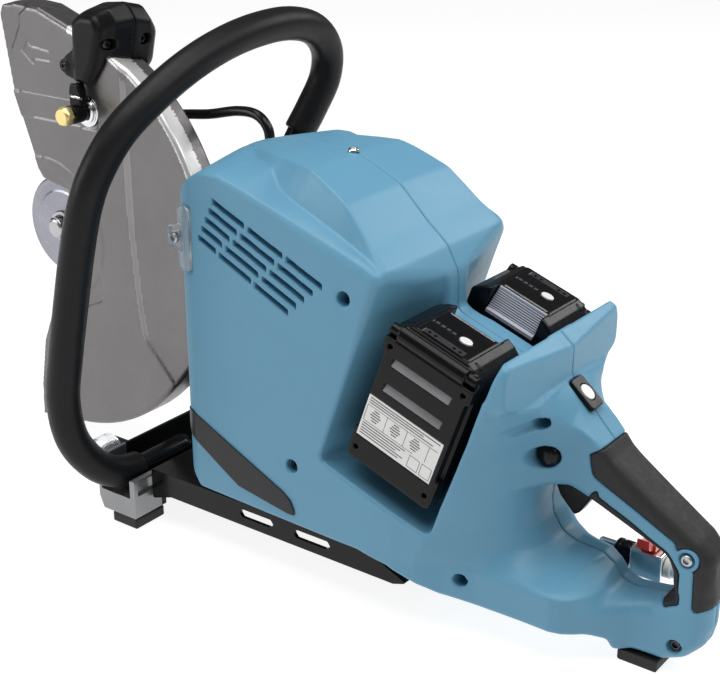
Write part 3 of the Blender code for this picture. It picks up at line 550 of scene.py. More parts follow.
def sweep(name, path, radius, segs, mat, body, replaces=(), inner=None, round_ends=0.0):
    pts = [Vector(tuple(q)) for q in path]
    rad = [radius(i / (len(pts) - 1)) if callable(radius) else radius for i in range(len(pts))]
    tang = []
    for i in range(len(pts)):
        a, b = pts[max(0, i - 1)], pts[min(len(pts) - 1, i + 1)]
        tang.append((b - a).normalized())
    ref = Vector((0, 0, 1)) if abs(tang[0].z) < 0.9 else Vector((1, 0, 0))
    u = tang[0].cross(ref).normalized()
    rows = []

    def circle(c, u_, v_, r):
        return [tuple(c + u_ * (r * math.cos(2 * math.pi * k / segs)) + v_ * (r * math.sin(2 * math.pi * k / segs)))
                for k in range(segs)]
    frames = []
    for t in tang:
        u = (u - t * u.dot(t)).normalized()
        frames.append((u, t.cross(u)))
    if round_ends:
        first = [circle(pts[0] + tang[0] * (round_ends * (1 - math.cos(a))), *frames[0],
                        rad[0] - round_ends + round_ends * math.sin(a))
                 for a in (0, 0.35, 0.7, 1.1, 1.5)]
        last = [circle(pts[-1] - tang[-1] * (round_ends * (1 - math.cos(a))), *frames[-1],
                       rad[-1] - round_ends + round_ends * math.sin(a))
                for a in (1.5, 1.1, 0.7, 0.35, 0)]
        inner_pts = [i for i in range(len(pts)) if (pts[i] - pts[0]).length > round_ends * 1.2
                     and (pts[i] - pts[-1]).length > round_ends * 1.2]
        rows = first + [circle(pts[i], *frames[i], rad[i]) for i in inner_pts] + last
    else:
        rows = [circle(pts[i], *frames[i], rad[i]) for i in range(len(pts))]
    if inner is None:
        return loft(name, rows, mat, body, replaces)
    back = [circle(pts[i], *frames[i], inner) for i in range(len(pts) - 1, -1, -1)]
    return loft(name, rows + back, mat, body, replaces, closed=True)


# ------------------------------------------------------------------ camera, light and floor
def camera():
    cx, cy, cz, a, e, roll, f = 947.11685, -813.95584, 588.65596, 0.64128505, 0.38153376, -0.00180798, 1424.62969
    d = Vector((-math.sin(a) * math.cos(e), math.cos(a) * math.cos(e), -math.sin(e)))
    right = Vector((math.cos(a), math.sin(a), 0))
    up = right.cross(d)
    r2 = right * math.cos(roll) + up * math.sin(roll)
    u2 = -right * math.sin(roll) + up * math.cos(roll)
    cam = bpy.data.cameras.new("camera")
    cam.sensor_width = 36.0
    cam.sensor_fit = "HORIZONTAL"
    cam.lens = 36.0 * f / 720.0
    cam.clip_start = 0.01
    cam.clip_end = 50
    ob = bpy.data.objects.new("camera", cam)
    m = Matrix(((r2.x, u2.x, -d.x, 0), (r2.y, u2.y, -d.y, 0), (r2.z, u2.z, -d.z, 0), (0, 0, 0, 1)))
    m.translation = W3((cx, cy, cz))
    ob.matrix_world = m
    bpy.context.scene.collection.objects.link(ob)
    bpy.context.scene.camera = ob


def area(name, loc, target, size, power, rgb=(1, 1, 1), sy=None):
    li = bpy.data.lights.new(name, "AREA")
    li.energy = power
    li.color = rgb
    li.size = size
    if sy:
        li.shape = "RECTANGLE"
        li.size_y = sy
    ob = bpy.data.objects.new(name, li)
    ob.location = loc
    ob.rotation_euler = (Vector(target) - Vector(loc)).to_track_quat("-Z", "Y").to_euler()
    bpy.context.scene.collection.objects.link(ob)
    return ob


camera()
area("key_top", (0.05, -0.35, 2.0), (0.02, 0, 0.15), 1.9, 36, sy=1.5)
area("fill_left", (-1.6, -1.5, 0.9), (-0.1, 0, 0.2), 1.2, 17, sy=1.0)
area("rim_rear", (1.45, 0.25, 1.75), (0.1, 0, 0.2), 1.0, 16, sy=1.0)
area("rim_back", (0.9, 1.9, 1.5), (-0.1, 0, 0.25), 1.2, 16, sy=0.9)
wd = bpy.data.worlds.new("studio")
bpy.context.scene.world = wd
wd.use_nodes = True
wd.node_tree.nodes["Background"].inputs["Color"].default_value = (1.0, 1.0, 1.0, 1)
wd.node_tree.nodes["Background"].inputs["Strength"].default_value = 0.12
bpy.context.scene.view_settings.view_transform = "Standard"

fm = bpy.data.materials.new("floor")
fm.use_nodes = True
fb = fm.node_tree.nodes["Principled BSDF"]
fb.inputs["Base Color"].default_value = (0.26, 0.26, 0.26, 1)
fb.inputs["Emission Color"].default_value = (1, 1, 1, 1)
fb.inputs["Emission Strength"].default_value = 0.88
fb.inputs["Roughness"].default_value = 0.8
me = bpy.data.meshes.new("floor")
me.from_pydata([(-9, -9, -0.0004), (9, -9, -0.0004), (9, 9, -0.0004), (-9, 9, -0.0004)], [], [(0, 1, 2, 3)])
me.materials.append(fm)
floor = bpy.data.objects.new("floor", me)
bpy.context.scene.collection.objects.link(floor)


# ------------------------------------------------------------------ housing shells
SIL = [(224.5, 70, 6), (226, 300, 10), (232, 314.5, 8), (242, 321.5, 10), (272, 326, 30), (302, 328, 30), (338, 327, 30),
       (361, 317, 20), (376, 310, 22), (400, 287, 25), (418, 271.5, 12), (427.3, 255, 9), (428.0, 225.5, 6), (433, 222.1, 3),
       (499.9, 198.5, 4), (510.6, 228.3, 1.8), (523.9, 217.7, 2), (523.4, 197.5, 6), (530, 191, 3), (545, 173, 12),
       (566, 151, 12), (600, 127.4, 30), (632, 106.5, 16), (642.8, 95, 12), (643.6, 60, 10), (643.4, 40, 12),
       (640, 26, 12), (629, 15, 12), (614, 9.2, 5), (580, 9.2, 5), (577, 19, 5), (568, 25.5, 12), (548, 27, 20),
       (487, 27.5, 15), (462, 31, 12), (444, 39, 10), (424, 48.5, 12), (398, 53.5, 20), (240, 54.5, 6)]
HOLE = [(516.5, 119, 4), (512.5, 100, 12), (514.5, 86, 14), (523, 74, 14), (535, 69.3, 12), (556, 68, 8), (566, 61.5, 8),
        (573, 52, 9), (582, 50, 8), (603, 53, 8), (614.5, 57, 6), (616.8, 66, 6), (616, 80, 8), (611, 91, 12),
        (557, 113.5, 7), (535, 122, 8)]
FRONT_W = [(222, 66), (226, 71), (229, 75.5), (233, 78.8), (240, 80.8), (272, 82), (302, 83), (338, 84), (376, 85.0),
           (410, 85.2)]
LEVELS = [
    (5, [(430, 80), (447, 74), (465, 66), (487, 59), (524, 57.5), (547, 57.5), (555, 54.5), (562, 49), (570, 41), (577, 31),
         (588, 21.0), (610, 21), (625, 19.5), (636, 16.5), (645, 12)]),
    (28, [(430, 82), (447, 77), (465, 68), (487, 62), (524, 60.5), (547, 60.5), (555, 57.5), (562, 52), (570, 44),
          (577, 36), (590, 24), (605, 20.5), (625, 19.2), (636, 16.5), (645, 12)]),
    (56, [(430, 84), (447, 80), (465, 71), (487, 63.5), (524, 62), (547, 62.5), (555, 60), (562, 55), (570, 46.5),
          (577, 37.5), (590, 26), (605, 20.5), (625, 19), (636, 16.5), (645, 12)]),
    (59.5, [(430, 84), (447, 81), (465, 71.5), (487, 62.5), (505, 60), (524, 59.5), (547, 58.5), (555, 55), (562, 49.5),
            (570, 41), (577, 33), (590, 24), (605, 20), (625, 18.8), (636, 16.5), (645, 12)]),
    (66, [(430, 84.5), (450, 82), (468, 72), (487, 63), (500, 58), (512, 54), (524, 50), (536, 44), (547, 38), (560, 30),
          (572, 24), (583, 20.5), (595, 19), (625, 18.7), (636, 16.5), (645, 12)]),
    (75, [(430, 85), (455, 82), (470, 73.5), (487, 63), (500, 54.5), (512, 45), (520, 37.5), (530, 29.5), (541, 23.5),
          (550, 20.5), (562, 19), (575, 18.5), (600, 18.3), (630, 18.2), (645, 15)]),
    (90, [(430, 85), (458, 83), (472, 76), (487, 66), (497, 57.5), (505, 48), (512, 38.5), (518, 30), (524, 23.5),
          (530, 20), (540, 18.5), (560, 18.2), (600, 18.2), (630, 18.2), (645, 15)]),
    (110, [(430, 85), (465, 83.5), (478, 78), (490, 69), (499, 58.5), (506, 47.5), (512, 38), (517, 30.5), (522, 25),
           (528, 21.5), (538, 19.4), (560, 18.8), (600, 18.6), (645, 17)]),
    (150, [(430, 85.2), (472, 83.5), (484, 80), (495, 72.5), (503, 62), (509.5, 50.5), (515, 41), (520, 34.0), (524, 30.0),
           (530, 26), (538, 22.5), (550, 20.0), (566, 19.0), (600, 18.7), (645, 17)]),
    (172, [(430, 85.2), (480, 83.5), (494, 79.5), (504, 72), (511, 62.5), (517, 51.5), (523, 41), (529, 33), (536, 27),
           (545, 22.3), (556, 19.6), (566, 19.0), (645, 17)]),
    (184, [(430, 85.2), (486, 83.2), (500, 80), (509, 74), (515, 65.5), (520, 54), (524.5, 43.5), (530, 33.5), (537, 25.5),
           (545, 21.5), (556, 19.5), (645, 17)]),
    (189.5, [(430, 85.2), (488, 83), (502, 80), (511, 75), (516, 68), (519, 60), (522, 51), (526, 42), (531, 34), (540, 24),
             (556, 19.5), (645, 17)]),
    (193.5, [(430, 85.2), (490, 82.8), (505, 80.2), (514, 78), (519, 75), (524, 68), (530, 50), (540, 30), (560, 22),
             (645, 19)]),
    (198, [(430, 85.2), (492, 82.6), (508, 80.5), (519, 79.2), (526, 77), (536, 50), (560, 25), (645, 19)]),
    (218, [(430, 85.2), (495, 82.6), (510, 81), (519, 79.8), (528, 78.5), (540, 50), (645, 19)]),
    (230, [(430, 85.2), (495, 82.6), (510, 81), (519, 79.8), (528, 78.5), (540, 50), (645, 19)]),
    (332, [(430, 85.2), (495, 82.6), (510, 81), (518.2, 79), (519.6, 72), (523.8, 26), (524.8, 20), (545, 19)])]
# top surface of the front block: x, centre height, scarp top y, scarp foot y, foot height, crease height
CREST = [(224, 300, 8, 10, 297, 284), (228, 309, 9, 11, 306, 292), (233, 315.5, 10, 13, 313, 301), (240, 321, 13, 16, 319.5, 307),
         (250, 323.5, 18, 21.5, 321.5, 313.5), (257, 324.5, 21, 26, 321.5, 316), (270, 326, 29, 36, 320.5, 316.5),
         (285, 327.4, 37, 45, 320, 312), (297, 328, 41.5, 50, 319, 308.5), (305, 328, 43.5, 55, 313.5, 306.2),
         (313, 328, 46, 60.5, 308.5, 303.5), (322, 327.8, 50, 63.5, 305.5, 301), (338, 326.8, 55.5, 66.5, 300.5, 295.7),
         (350, 322.5, 58.5, 68, 297, 291.8), (361, 317.3, 61, 69.5, 293, 288.4), (376, 309.8, 64.5, 71, 287.5, 283.6),
         (390, 297, 67.5, 72.5, 281.5, 279), (400, 286.6, 70, 75, 277.5, 275.5), (410, 279, 72, 77, 272.5, 271),
         (419, 271.2, 74, 79, 266, 262), (427, 256, 76, 80, 251, 246), (431, 246, 76, 80, 241, 236)]


# the right half leaves room for the water valve beside the lower bar
RIGHT_CAP = [(470, 90), (480, 70), (487, 55), (500, 42), (512, 34), (520, 29), (532, 25), (545, 21.5), (562, 20), (645, 20)]


def half_width(xs, zs, side):
    rows = []
    for z, pts in LEVELS:
        p = FRONT_W + pts
        row = np.interp(xs, [q[0] for q in p], [q[1] for q in p])
        if side > 0 and z < 100:
            row = np.minimum(row, np.interp(xs, [q[0] for q in RIGHT_CAP], [q[1] for q in RIGHT_CAP]))
        rows.append(row)
    rows = np.array(rows)
    lv = np.array([l[0] for l in LEVELS], float)
    out = np.empty((len(xs), len(zs)), np.float32)
    for i in range(len(xs)):
        out[i] = np.interp(zs, lv, rows[:, i])
    return out


def blur(a, n, axis):
    for _ in range(n):
        b = a.copy()
        sl = [slice(None)] * a.ndim
        s0, s1, s2 = list(sl), list(sl), list(sl)
        s0[axis], s1[axis], s2[axis] = slice(0, -2), slice(1, -1), slice(2, None)
        b[tuple(s1)] = 0.25 * a[tuple(s0)] + 0.5 * a[tuple(s1)] + 0.25 * a[tuple(s2)]
        a = b
    return a


GRIP_IN = [(550.2, 151.0), (551.3, 143), (553.0, 136.0, 4), (560, 131.6, 4), (587, 118.6), (616.5, 103.6, 4), (618.5, 97, 4),
           (621.5, 89.5, 5), (631.3, 86.0, 4), (632.2, 55.2, 3), (641.5, 56.6, 4), (652, 66), (665, 110), (600, 175), (566, 172), (562.5, 159.5)]
UNDER_IN = [(556.8, 125.0), (558.0, 120.0, 3), (583, 109.0), (611.5, 94.2, 6), (620.4, 83.0, 5), (622.4, 57.2, 3),
            (612, 51), (606, 56), (604, 80), (590, 90), (552, 108), (550, 118)]
# rows of slots between their front and rear ends, on the side wall
VENT_ROWS = []
for r_ in range(5):
    t_ = r_ / 4
    za, xa = 295.7 + (265.6 - 295.7) * t_, 266.5 + (250.6 - 266.5) * t_
    slope_ = -0.4213 + (-0.4568 + 0.4213) * t_
    e1 = 297.4 + (267.9 - 297.4) * t_
    s2, e2 = 300.8 + (271.2 - 300.8) * t_, 333.4 + (302.6 - 333.4) * t_
    s3, e3 = 336.7 + (305.9 - 336.7) * t_, 369.2 + (337.3 - 369.2) * t_
    x_start = max(xa, {0: 266.5, 1: 258.0, 2: 251.5, 3: 249.0, 4: 250.6}[r_])
    for p_, q_ in ((x_start, e1), (s2, e2), (s3, e3)):
        VENT_ROWS.append((p_, za + slope_ * (p_ - xa), q_, za + slope_ * (q_ - xa)))
LIGHT = (535, 0, 186.5)
LN = Vector((0.66, 0, 0.75)).normalized()
LT = Vector((LN.z, 0, -LN.x))


def housing_field(side, h):
    g = Grid((220.5, -1.6, 5.0), (647.0, 89.0, 332.0), h)
    X, Y, Z = g.X, g.Y, g.Z
    xs, zs = g.ax[0], g.ax[2]
    Wm = half_width(xs, zs, side)
    Wm = blur(blur(Wm, 2, 0), 1, 1)
    gx, gz = np.gradient(Wm, h, h)
    dw = (Y - Wm[:, None, :]) / np.sqrt(1 + gx * gx + gz * gz)[:, None, :]
    x2, z2 = xs[:, None], zs[None, :]
    sil = rounded(SIL, 3.0, 6)
    ds = poly_sd(sil, x2, z2)
    hole = poly_sd(rounded(HOLE, 4.0, 6), x2, z2)
    # edge roundness grows from the block to the bar handle
    rr = np.interp(xs, [220, 500, 520, 540, 556, 572, 650], [4.0, 4.0, 2.6, 2.8, 5.5, 9.5, 9.5]).astype(np.float32)[:, None]
    rr = np.broadcast_to(rr, ds.shape).copy()
    rr = np.where((z2 < 60) & (x2 < 590), 4.5, rr)
    rr = blur(blur(rr, 6, 0), 6, 1)[:, None, :]
    f = rmax(dw, ds[:, None, :], rr)
    # crest of the front block
    cx = [c[0] for c in CREST]
    zt, y1, y2, zf, zc = (np.interp(xs, cx, [c[k] for c in CREST])[:, None] for k in range(1, 6))
    zt, zf, zc = (blur(v, 3, 0) for v in (zt, zf, zc))
    y1, y2 = (blur(v, 2, 0) for v in (y1, y2))
    ya = np.abs(g.ax[1])[None, :]
    ys = 82.5
    crown = zt - 1.6 * (ya / np.maximum(y1, 1)) ** 2
    a = np.clip((ya - y1) / np.maximum(y2 - y1, 0.5), 0, 1)
    b = np.clip((ya - y2) / (ys - y2), 0, 1)
    T = np.where(ya < y1, crown, np.where(ya < y2, (zt - 1.6) * (1 - a) + zf * a,
                                          zf + (zc - zf) * b + 2.0 * b * (1 - b)))
    T = np.where(ya > ys, zc - 1.6 * (ya - ys), T)
    T = blur(blur(T, 1, 0), 1, 1)
    tx, ty = np.gradient(T, h, h)
    dt = (Z - T[:, :, None]) / np.sqrt(1 + tx * tx + ty * ty)[:, :, None]
    dt = np.where(X > 430.0, -60.0, dt)
    f = rmax(f, dt, 2.2)
    # leaning rear wall with its foot running out onto the neck, and the crowned back of the neck
    yc = g.ax[1].clip(0, None)
    zf = np.interp(yc, [0, 40, 50, 61, 90], [197.5, 194.0, 191.6, 190.0, 190.0])[None, :, None]
    wall = (X - 523.4 + 0.09 * np.maximum(Y, 0) - 1.15 * np.maximum(zf - Z, 0)) / np.where(Z < zf, 1.5, 1.0)
    wall = np.where((Z > 150) & (X > 470), wall, -50.0).astype(np.float32)
    f = rmax(f, wall, 1.6)
    topx = np.interp(xs, [523.4, 530, 545, 566, 600, 632], [197.5, 191, 173, 151, 127.4, 106.5])
    kx = np.interp(xs, [523, 530, 537, 549, 560, 575], [0.0056, 0.0118, 0.019, 0.010, 0.002, 0.0])
    crown_z = (Z - (topx[:, None, None] - kx[:, None, None] * Y * Y)) * 0.72
    crown_z = np.where((X > 524.5) & (Z > 120), crown_z, -50.0).astype(np.float32)
    f = rmax(f, crown_z, 1.8)
    # corner of the rear wall
    corner = 0.894 * (Y - 76.5) + 0.447 * (Z - 228)
    corner = np.where(X > 470, corner, -50.0)
    f = rmax(f, corner, 5.0)
    # battery bay: slanted box open at the side
    F = X * FX + Z * FZ
    C = X * UX + Z * UZ
    front = 323.0 - 19.0 * np.maximum(Y, 0) / 85.0
    bay = rmax(front - F, F - 405.0, 5.0)
    bay = rmax(bay, 233.0 - C, 5.0)
    bay = rmax(bay, 14.6 - Y, 3.0)
    rb = 2.2 + 3.6 * np.clip((C - 325) / 40.0, 0, 1) * np.clip((352 - F) / 10.0, 0, 1)
    f = rmax(f, -bay, rb)
    rh = np.where(z2 < 119.0 - 0.5 * (x2 - 516.0), 13.0, 5.5).astype(np.float32)
    rh = blur(blur(rh, 6, 0), 6, 1)[:, None, :]
    f = rmax(f, -hole[:, None, :], rh)
    # light switch pocket
    t = (X - LIGHT[0]) * LT.x + (Z - LIGHT[2]) * LT.z
    n = (X - LIGHT[0]) * LN.x + (Z - LIGHT[2]) * LN.z
    pocket = rmax(rmax(Y - 8.5, np.abs(t) - 13.2, 3.0), -3.0 - n, 0.6)
    f = rmax(f, -pocket, 1.0)
    # trigger slot
    tr = np.maximum(np.maximum(Y - 6.6, np.abs(X - 531.8) - 17.8), np.maximum(104 - Z, Z - 138))
    f = rmax(f, -tr, 1.0)
    # flush beds for the soft covers
    shell = f.copy()
    band1 = poly_sd(rounded(GRIP_IN, 2.0, 4), x2, z2)[:, None, :]
    band2 = poly_sd(rounded(UNDER_IN, 2.0, 4), x2, z2)[:, None, :]
    # round boss at the corner screw of the grip
    boss = np.hypot(x2 - 625.6, z2 - 93.2)[:, None, :] - 8.0
    band1 = np.maximum(band1, -(boss - 0.8))
    bed1 = np.maximum(band1 - 0.35, -(f + 3.6))
    bed2 = np.maximum(band2 - 0.35, -(f + 3.2))
    f = rmax(f, -bed1, 0.5)
    f = rmax(f, -bed2, 0.5)
    return g, f, shell, band1, band2, (x2, z2), dw


def make_housing(side, h=1.25):
    g, f, shell, band1, band2, (x2, z2), dw = housing_field(side, h)
    X, Y, Z = g.X, g.Y, g.Z
    tag = "left" if side < 0 else "right"

    def bore(x, z, r, y0, lip=0.8):
        d = np.hypot(x2 - x, z2 - z)[:, None, :] - r
        return np.maximum(d, y0 - Y)
    holes = [(388, 248, 5.6, 74.0), (338, 104, 5.4, 76.0), (477, 47.5, 5.4, 52.0)]
    for x, z, r, y0 in holes:
        f = rmax(f, -bore(x, z, r, y0), 0.8)
    # corner screw boss and tail screw seat
    f = rmax(f, -bore(625.6, 93.2, 5.6, 15.0), 0.8)
    f = rmax(f, -bore(622.5, 24.5, 5.4, 14.0), 0.7)
    # lock button pocket and the long recess above it
    f = rmax(f, -bore(521.5, 145.5, 9.2, 15.6), 1.0)
    # tear shaped recess: a bore whose forward side runs out in a shallow trough
    bore_ = np.maximum((np.hypot(x2 - 522.0, z2 - 174.8) - 5.2)[:, None, :], 22.0 - Y)
    f = rmax(f, -bore_, 0.8)
    ex = (x2 - 516.0) / 11.5
    ez = (z2 - (173.4 + 0.22 * (x2 - 516.0))) / 4.8
    dish = 4.6 * np.clip(1 - (ex * ex + ez * ez), 0, 1) * np.clip((x2 - 504.0) / 12.0, 0, 1)
    f = np.maximum(f, np.minimum(dw + dish[:, None, :], np.where(dish[:, None, :] > 0.02, 99.0, -99.0)))
    if side < 0:
        # ventilation slots
        vent = np.full(np.broadcast(x2, z2).shape, 99.0, np.float32)
        for xa_, za_, xb_, zb_ in VENT_ROWS:
            w = (z2 - za_) - (zb_ - za_) * (x2 - xa_) / (xb_ - xa_)
            vent = np.minimum(vent, np.maximum(np.maximum(xa_ - x2, x2 - xb_), (np.abs(w) - 2.45) * 0.9))
        f = rmax(f, -np.maximum(vent[:, None, :], 72.0 - Y), 0.35)
        # seat of the clear clip
        seat = np.maximum(np.maximum(X - 243.5, np.abs(Z - 262) - 26.0), 79.4 - Y)
        f = rmax(f, -seat, 0.4)
    # parting face of this half, with a fine broken edge
    f = rmax(f, 0.18 - Y, 0.55)
    if side < 0:
        mapping = lambda co: co * np.array([1, -1, 1])
    else:
        mapping = None
    ob = g.build("shell_" + tag, f, "teal", "frame", "housing_teal", "housing_" + tag,
                 ratio=0.33, mapping=mapping, flip=side < 0)
    if side < 0:
        make_covers(g, shell, band1, band2)
    return ob


def make_covers(g, shell, band1, band2):
    """Soft covers over the rear grip, flush with the shell, each one piece across the parting line."""
    for name, band, skin, node, lo, hi in (
            ("grip_cover_outer", band1, 3.2, "grip_rubber_outer", (546, 50), (646, 172)),
            ("grip_cover_inner", band2, 2.8, "grip_rubber_inner", (546, 48), (626, 128))):
        i0 = int((lo[0] - g.lo[0]) / g.h[0])
        i1 = int((hi[0] - g.lo[0]) / g.h[0])
        k0 = int((lo[1] - g.lo[2]) / g.h[2])
        k1 = int((hi[1] - g.lo[2]) / g.h[2])
        j1 = int((24 - g.lo[1]) / g.h[1])
        sh = shell[i0:i1, :j1, k0:k1]
        bd = band[i0:i1, :, k0:k1]
        f = rmax(sh - 0.30, bd + 0.05, 1.3)
        f = rmax(f, -(sh + skin), 0.5)
        y = g.ax[1][:j1]
        yy = np.arange(-22.0, 22.0 + 1.0, 1.0).astype(np.float32)
        # even in y: sample the half field at |y|
        pos = (np.abs(yy) - g.lo[1]) / g.h[1]
        a = np.clip(pos.astype(int), 0, j1 - 2)
        t = (pos - a)[None, :, None]
        full = f[:, a, :] * (1 - t) + f[:, a + 1, :] * t
        gg = Grid.__new__(Grid)
        gg.lo = (float(g.ax[0][i0]), -22.0, float(g.ax[2][k0]))
        gg.h = (g.h[0], 1.0, g.h[2])
        gg.ax = [g.ax[0][i0:i1], yy, g.ax[2][k0:k1]]
        gg.build(name, full, "rubber", "frame", "black_rubber", node)


make_housing(-1.0, 1.1)
make_housing(1.0, 1.25)


# ------------------------------------------------------------------ pressed guard
def arc(cx, cz, r, a0, a1, n):
    return [(cx + r * math.cos(math.radians(a0 + (a1 - a0) * k / n)),
             cz + r * math.sin(math.radians(a0 + (a1 - a0) * k / n))) for k in range(n + 1)]


G_NOSE = [(-43.5, 391), (-40, 399, 0), (-26, 403), (5, 401)]
G_BACK = arc(0, SP_Z, GUARD_R, 71, -30, 60)
G_LOW = arc(0, SP_Z, 184.5, -38, -82.5, 30)
G_FRONT = ([(-34, 15.5), (-32, 47), (-23, 93), (-6, 132), (22, 160)] + arc(0, SP_Z, 49, -38, 58, 20)
           + [(8, 249), (-5, 252), (-11, 260), (-19, 283), (-34, 324)])
G_OUT = G_NOSE + G_BACK + G_LOW + G_FRONT


def line_dist(P, A, B):
    d2 = np.full(np.broadcast(A, B).shape, 1e9, np.float32)
    for (ax, az), (bx, bz) in zip(P, P[1:]):
        ex, ez = bx - ax, bz - az
        L = ex * ex + ez * ez
        if L < 1e-9:
            continue
        t = np.clip(((A - ax) * ex + (B - az) * ez) / L, 0, 1)
        d2 = np.minimum(d2, (A - ax - t * ex) ** 2 + (B - az - t * ez) ** 2)
    return np.sqrt(d2)


def step(d, w):
    """0 to 1 across a band of half width w around d = 0, 1 on the negative side."""
    t = np.clip(0.5 - d / (2 * w), 0, 1)
    return t * t * (3 - 2 * t)


def guard_outer(g):
    x2, z2 = g.ax[0][:, None], g.ax[2][None, :]
    return poly_sd([q[:2] for q in G_OUT], x2, z2)


def make_guard():
    h = 1.1
    g = Grid((-47, -6.4, 8), (191, 28.0, 407), (h, 0.65, h))
    x2, z2 = g.ax[0][:, None], g.ax[2][None, :]
    Y = g.Y
    ds = guard_outer(g)
    front = line_dist([(-45, 410)] + [(-43.5, 391)] + [q[:2] for q in G_FRONT[::-1]] + [(-34, 15.5), (-60, 15)], x2, z2)
    rr = np.clip(front * 0.35 - 0.5, 0.5, 4.2)
    rr = blur(blur(rr.astype(np.float32), 3, 0), 3, 1)
    core = ([(-80, 388), (-60, 396.4), (-26, 399.4), (4.5, 397.4)] + arc(0, SP_Z, GUARD_R - 2.9, 70.5, -30, 60)
            + arc(0, SP_Z, 184.5 - 2.9, -38, -82.5, 30) + [(-36, 19.0), (-90, 14), (-90, 200)])
    dc = poly_sd(core, x2, z2)
    # pressed relief of the left plate, positive outward
    upper = [(-9, 410), (-9, 399), (-18, 393), (-19, 383), (-32, 361), (-25, 325), (60, 325), (80, 325), (80, 410)]
    lower = [(-16, 305), (-7, 285), (-1, 268), (4, 264), (26, 252), (60, 235), (60, 150), (-10, 118), (-25, 60), (-24, 10),
             (200, 0), (200, 420), (70, 420), (70, 305)]
    band = [(-60, 304), (48, 304), (56, 308), (56, 322), (48, 326), (-60, 326)]
    aft = [(102, 420), (101, 294), (101, 229), (106, 160), (111, 126), (150, 84), (230, 20), (260, 420)]
    up_d, lo_d = poly_sd(rounded(upper, 5, 4), x2, z2), poly_sd(rounded(lower, 5, 4), x2, z2)
    ba_d, af_d = poly_sd(rounded(band, 2.0, 3), x2, z2), poly_sd(rounded(aft, 12, 6), x2, z2)
    wst = np.interp(g.ax[2], [60, 92, 125, 230, 300], [1.0, 1.6, 3.6, 4.0, 5.0])[None, :]
    # the arrow, a closed stroke pressed into the plate
    ar = np.minimum.reduce([line_dist(p, x2, z2) for p in (
        [(-18, 363.5), (-7, 372.5), (-7, 368.5)], [(-7, 368.5), (17, 366)], [(-18, 363.5), (-4, 353), (-4, 358)],
        [(-4, 358), (17, 357.6)])]) - 0.55
    D = (1.6 * np.maximum(step(up_d, 1.5), step(lo_d, 1.5)) + 1.2 * step(ba_d, 1.3)
         - 2.2 * step(af_d, wst) * np.clip((z2 - 40) / 60, 0, 1))
    hub = np.hypot(x2, z2 - SP_Z)
    D = D + 1.1 * step(hub - 66, 2.5)
    D = D.astype(np.float32) - 0.9 * step(ar, 0.9)
    outer = np.maximum(-4.0 - D[:, None, :] - Y, Y - 26.0)
    inner = np.maximum(-1.5 - D[:, None, :] * 0.8 - Y, Y - 23.5)
    f = rmax(ds[:, None, :], outer, rr[:, None, :])
    f = rmax(f, -rmax(dc[:, None, :], inner, 2.2), 0.45)
    # hole for the water fitting is closed by its clip
    ob = g.build("guard_skin", f, "steel_guard", "guard", "guard_steel", "guard_shell", ratio=0.36)
    # painted highlight: lighter copies of the steel go on the upper rolled edge and on the pressed step faces
    ob.data.materials.append(MATS["steel_rim_painted_highlight"])
    ob.data.materials.append(MATS["steel_step_painted_highlight"])
    for p in ob.data.polygons:
        px, py, pz = p.center.x * 1000 + 299, p.center.y * 1000, p.center.z * 1000
        rad = math.hypot(px, pz - SP_Z)
        # painted highlight only along the upper part of the rolled edge; the lower rim keeps the plain steel
        if rad > GUARD_R - 4.2 and px > 40 and py < 12 and pz > 210:
            p.material_index = 1
        # painted highlight on the step faces, picked by the direction they face
        elif rad < GUARD_R - 9 and 92 < px < 175 and pz > 95 and p.normal.x > 0.2 and p.normal.y < -0.4:
            p.material_index = 2
    return ob


make_guard()

# ------------------------------------------------------------------ grip block on the rim
BLOCK = [(-15.5, [(53, 349), (63, 346), (71, 365), (78, 384), (74, 393), (62, 396), (54, 391)]),
         (-12.0, [(52, 345), (68, 343), (80, 362), (89, 390), (83, 402), (64, 402), (54, 395)]),
         (-4.0, [(52, 345), (72, 343), (90, 364), (99, 396), (91, 408), (66, 405), (54, 398)]),
         (12.0, [(53, 348), (76, 346), (97, 362), (105, 398), (95, 412), (68, 409), (55, 400)]),
         (27.0, [(56, 352), (82, 348), (99, 357), (107, 394), (98, 408), (71, 407), (58, 398)]),
         (35.0, [(58, 354), (84, 350), (98, 357), (105, 386), (97, 399), (73, 400), (60, 392)]),
         (38.5, [(62, 360), (82, 356), (93, 362), (98, 384), (92, 391), (76, 392), (66, 386)])]


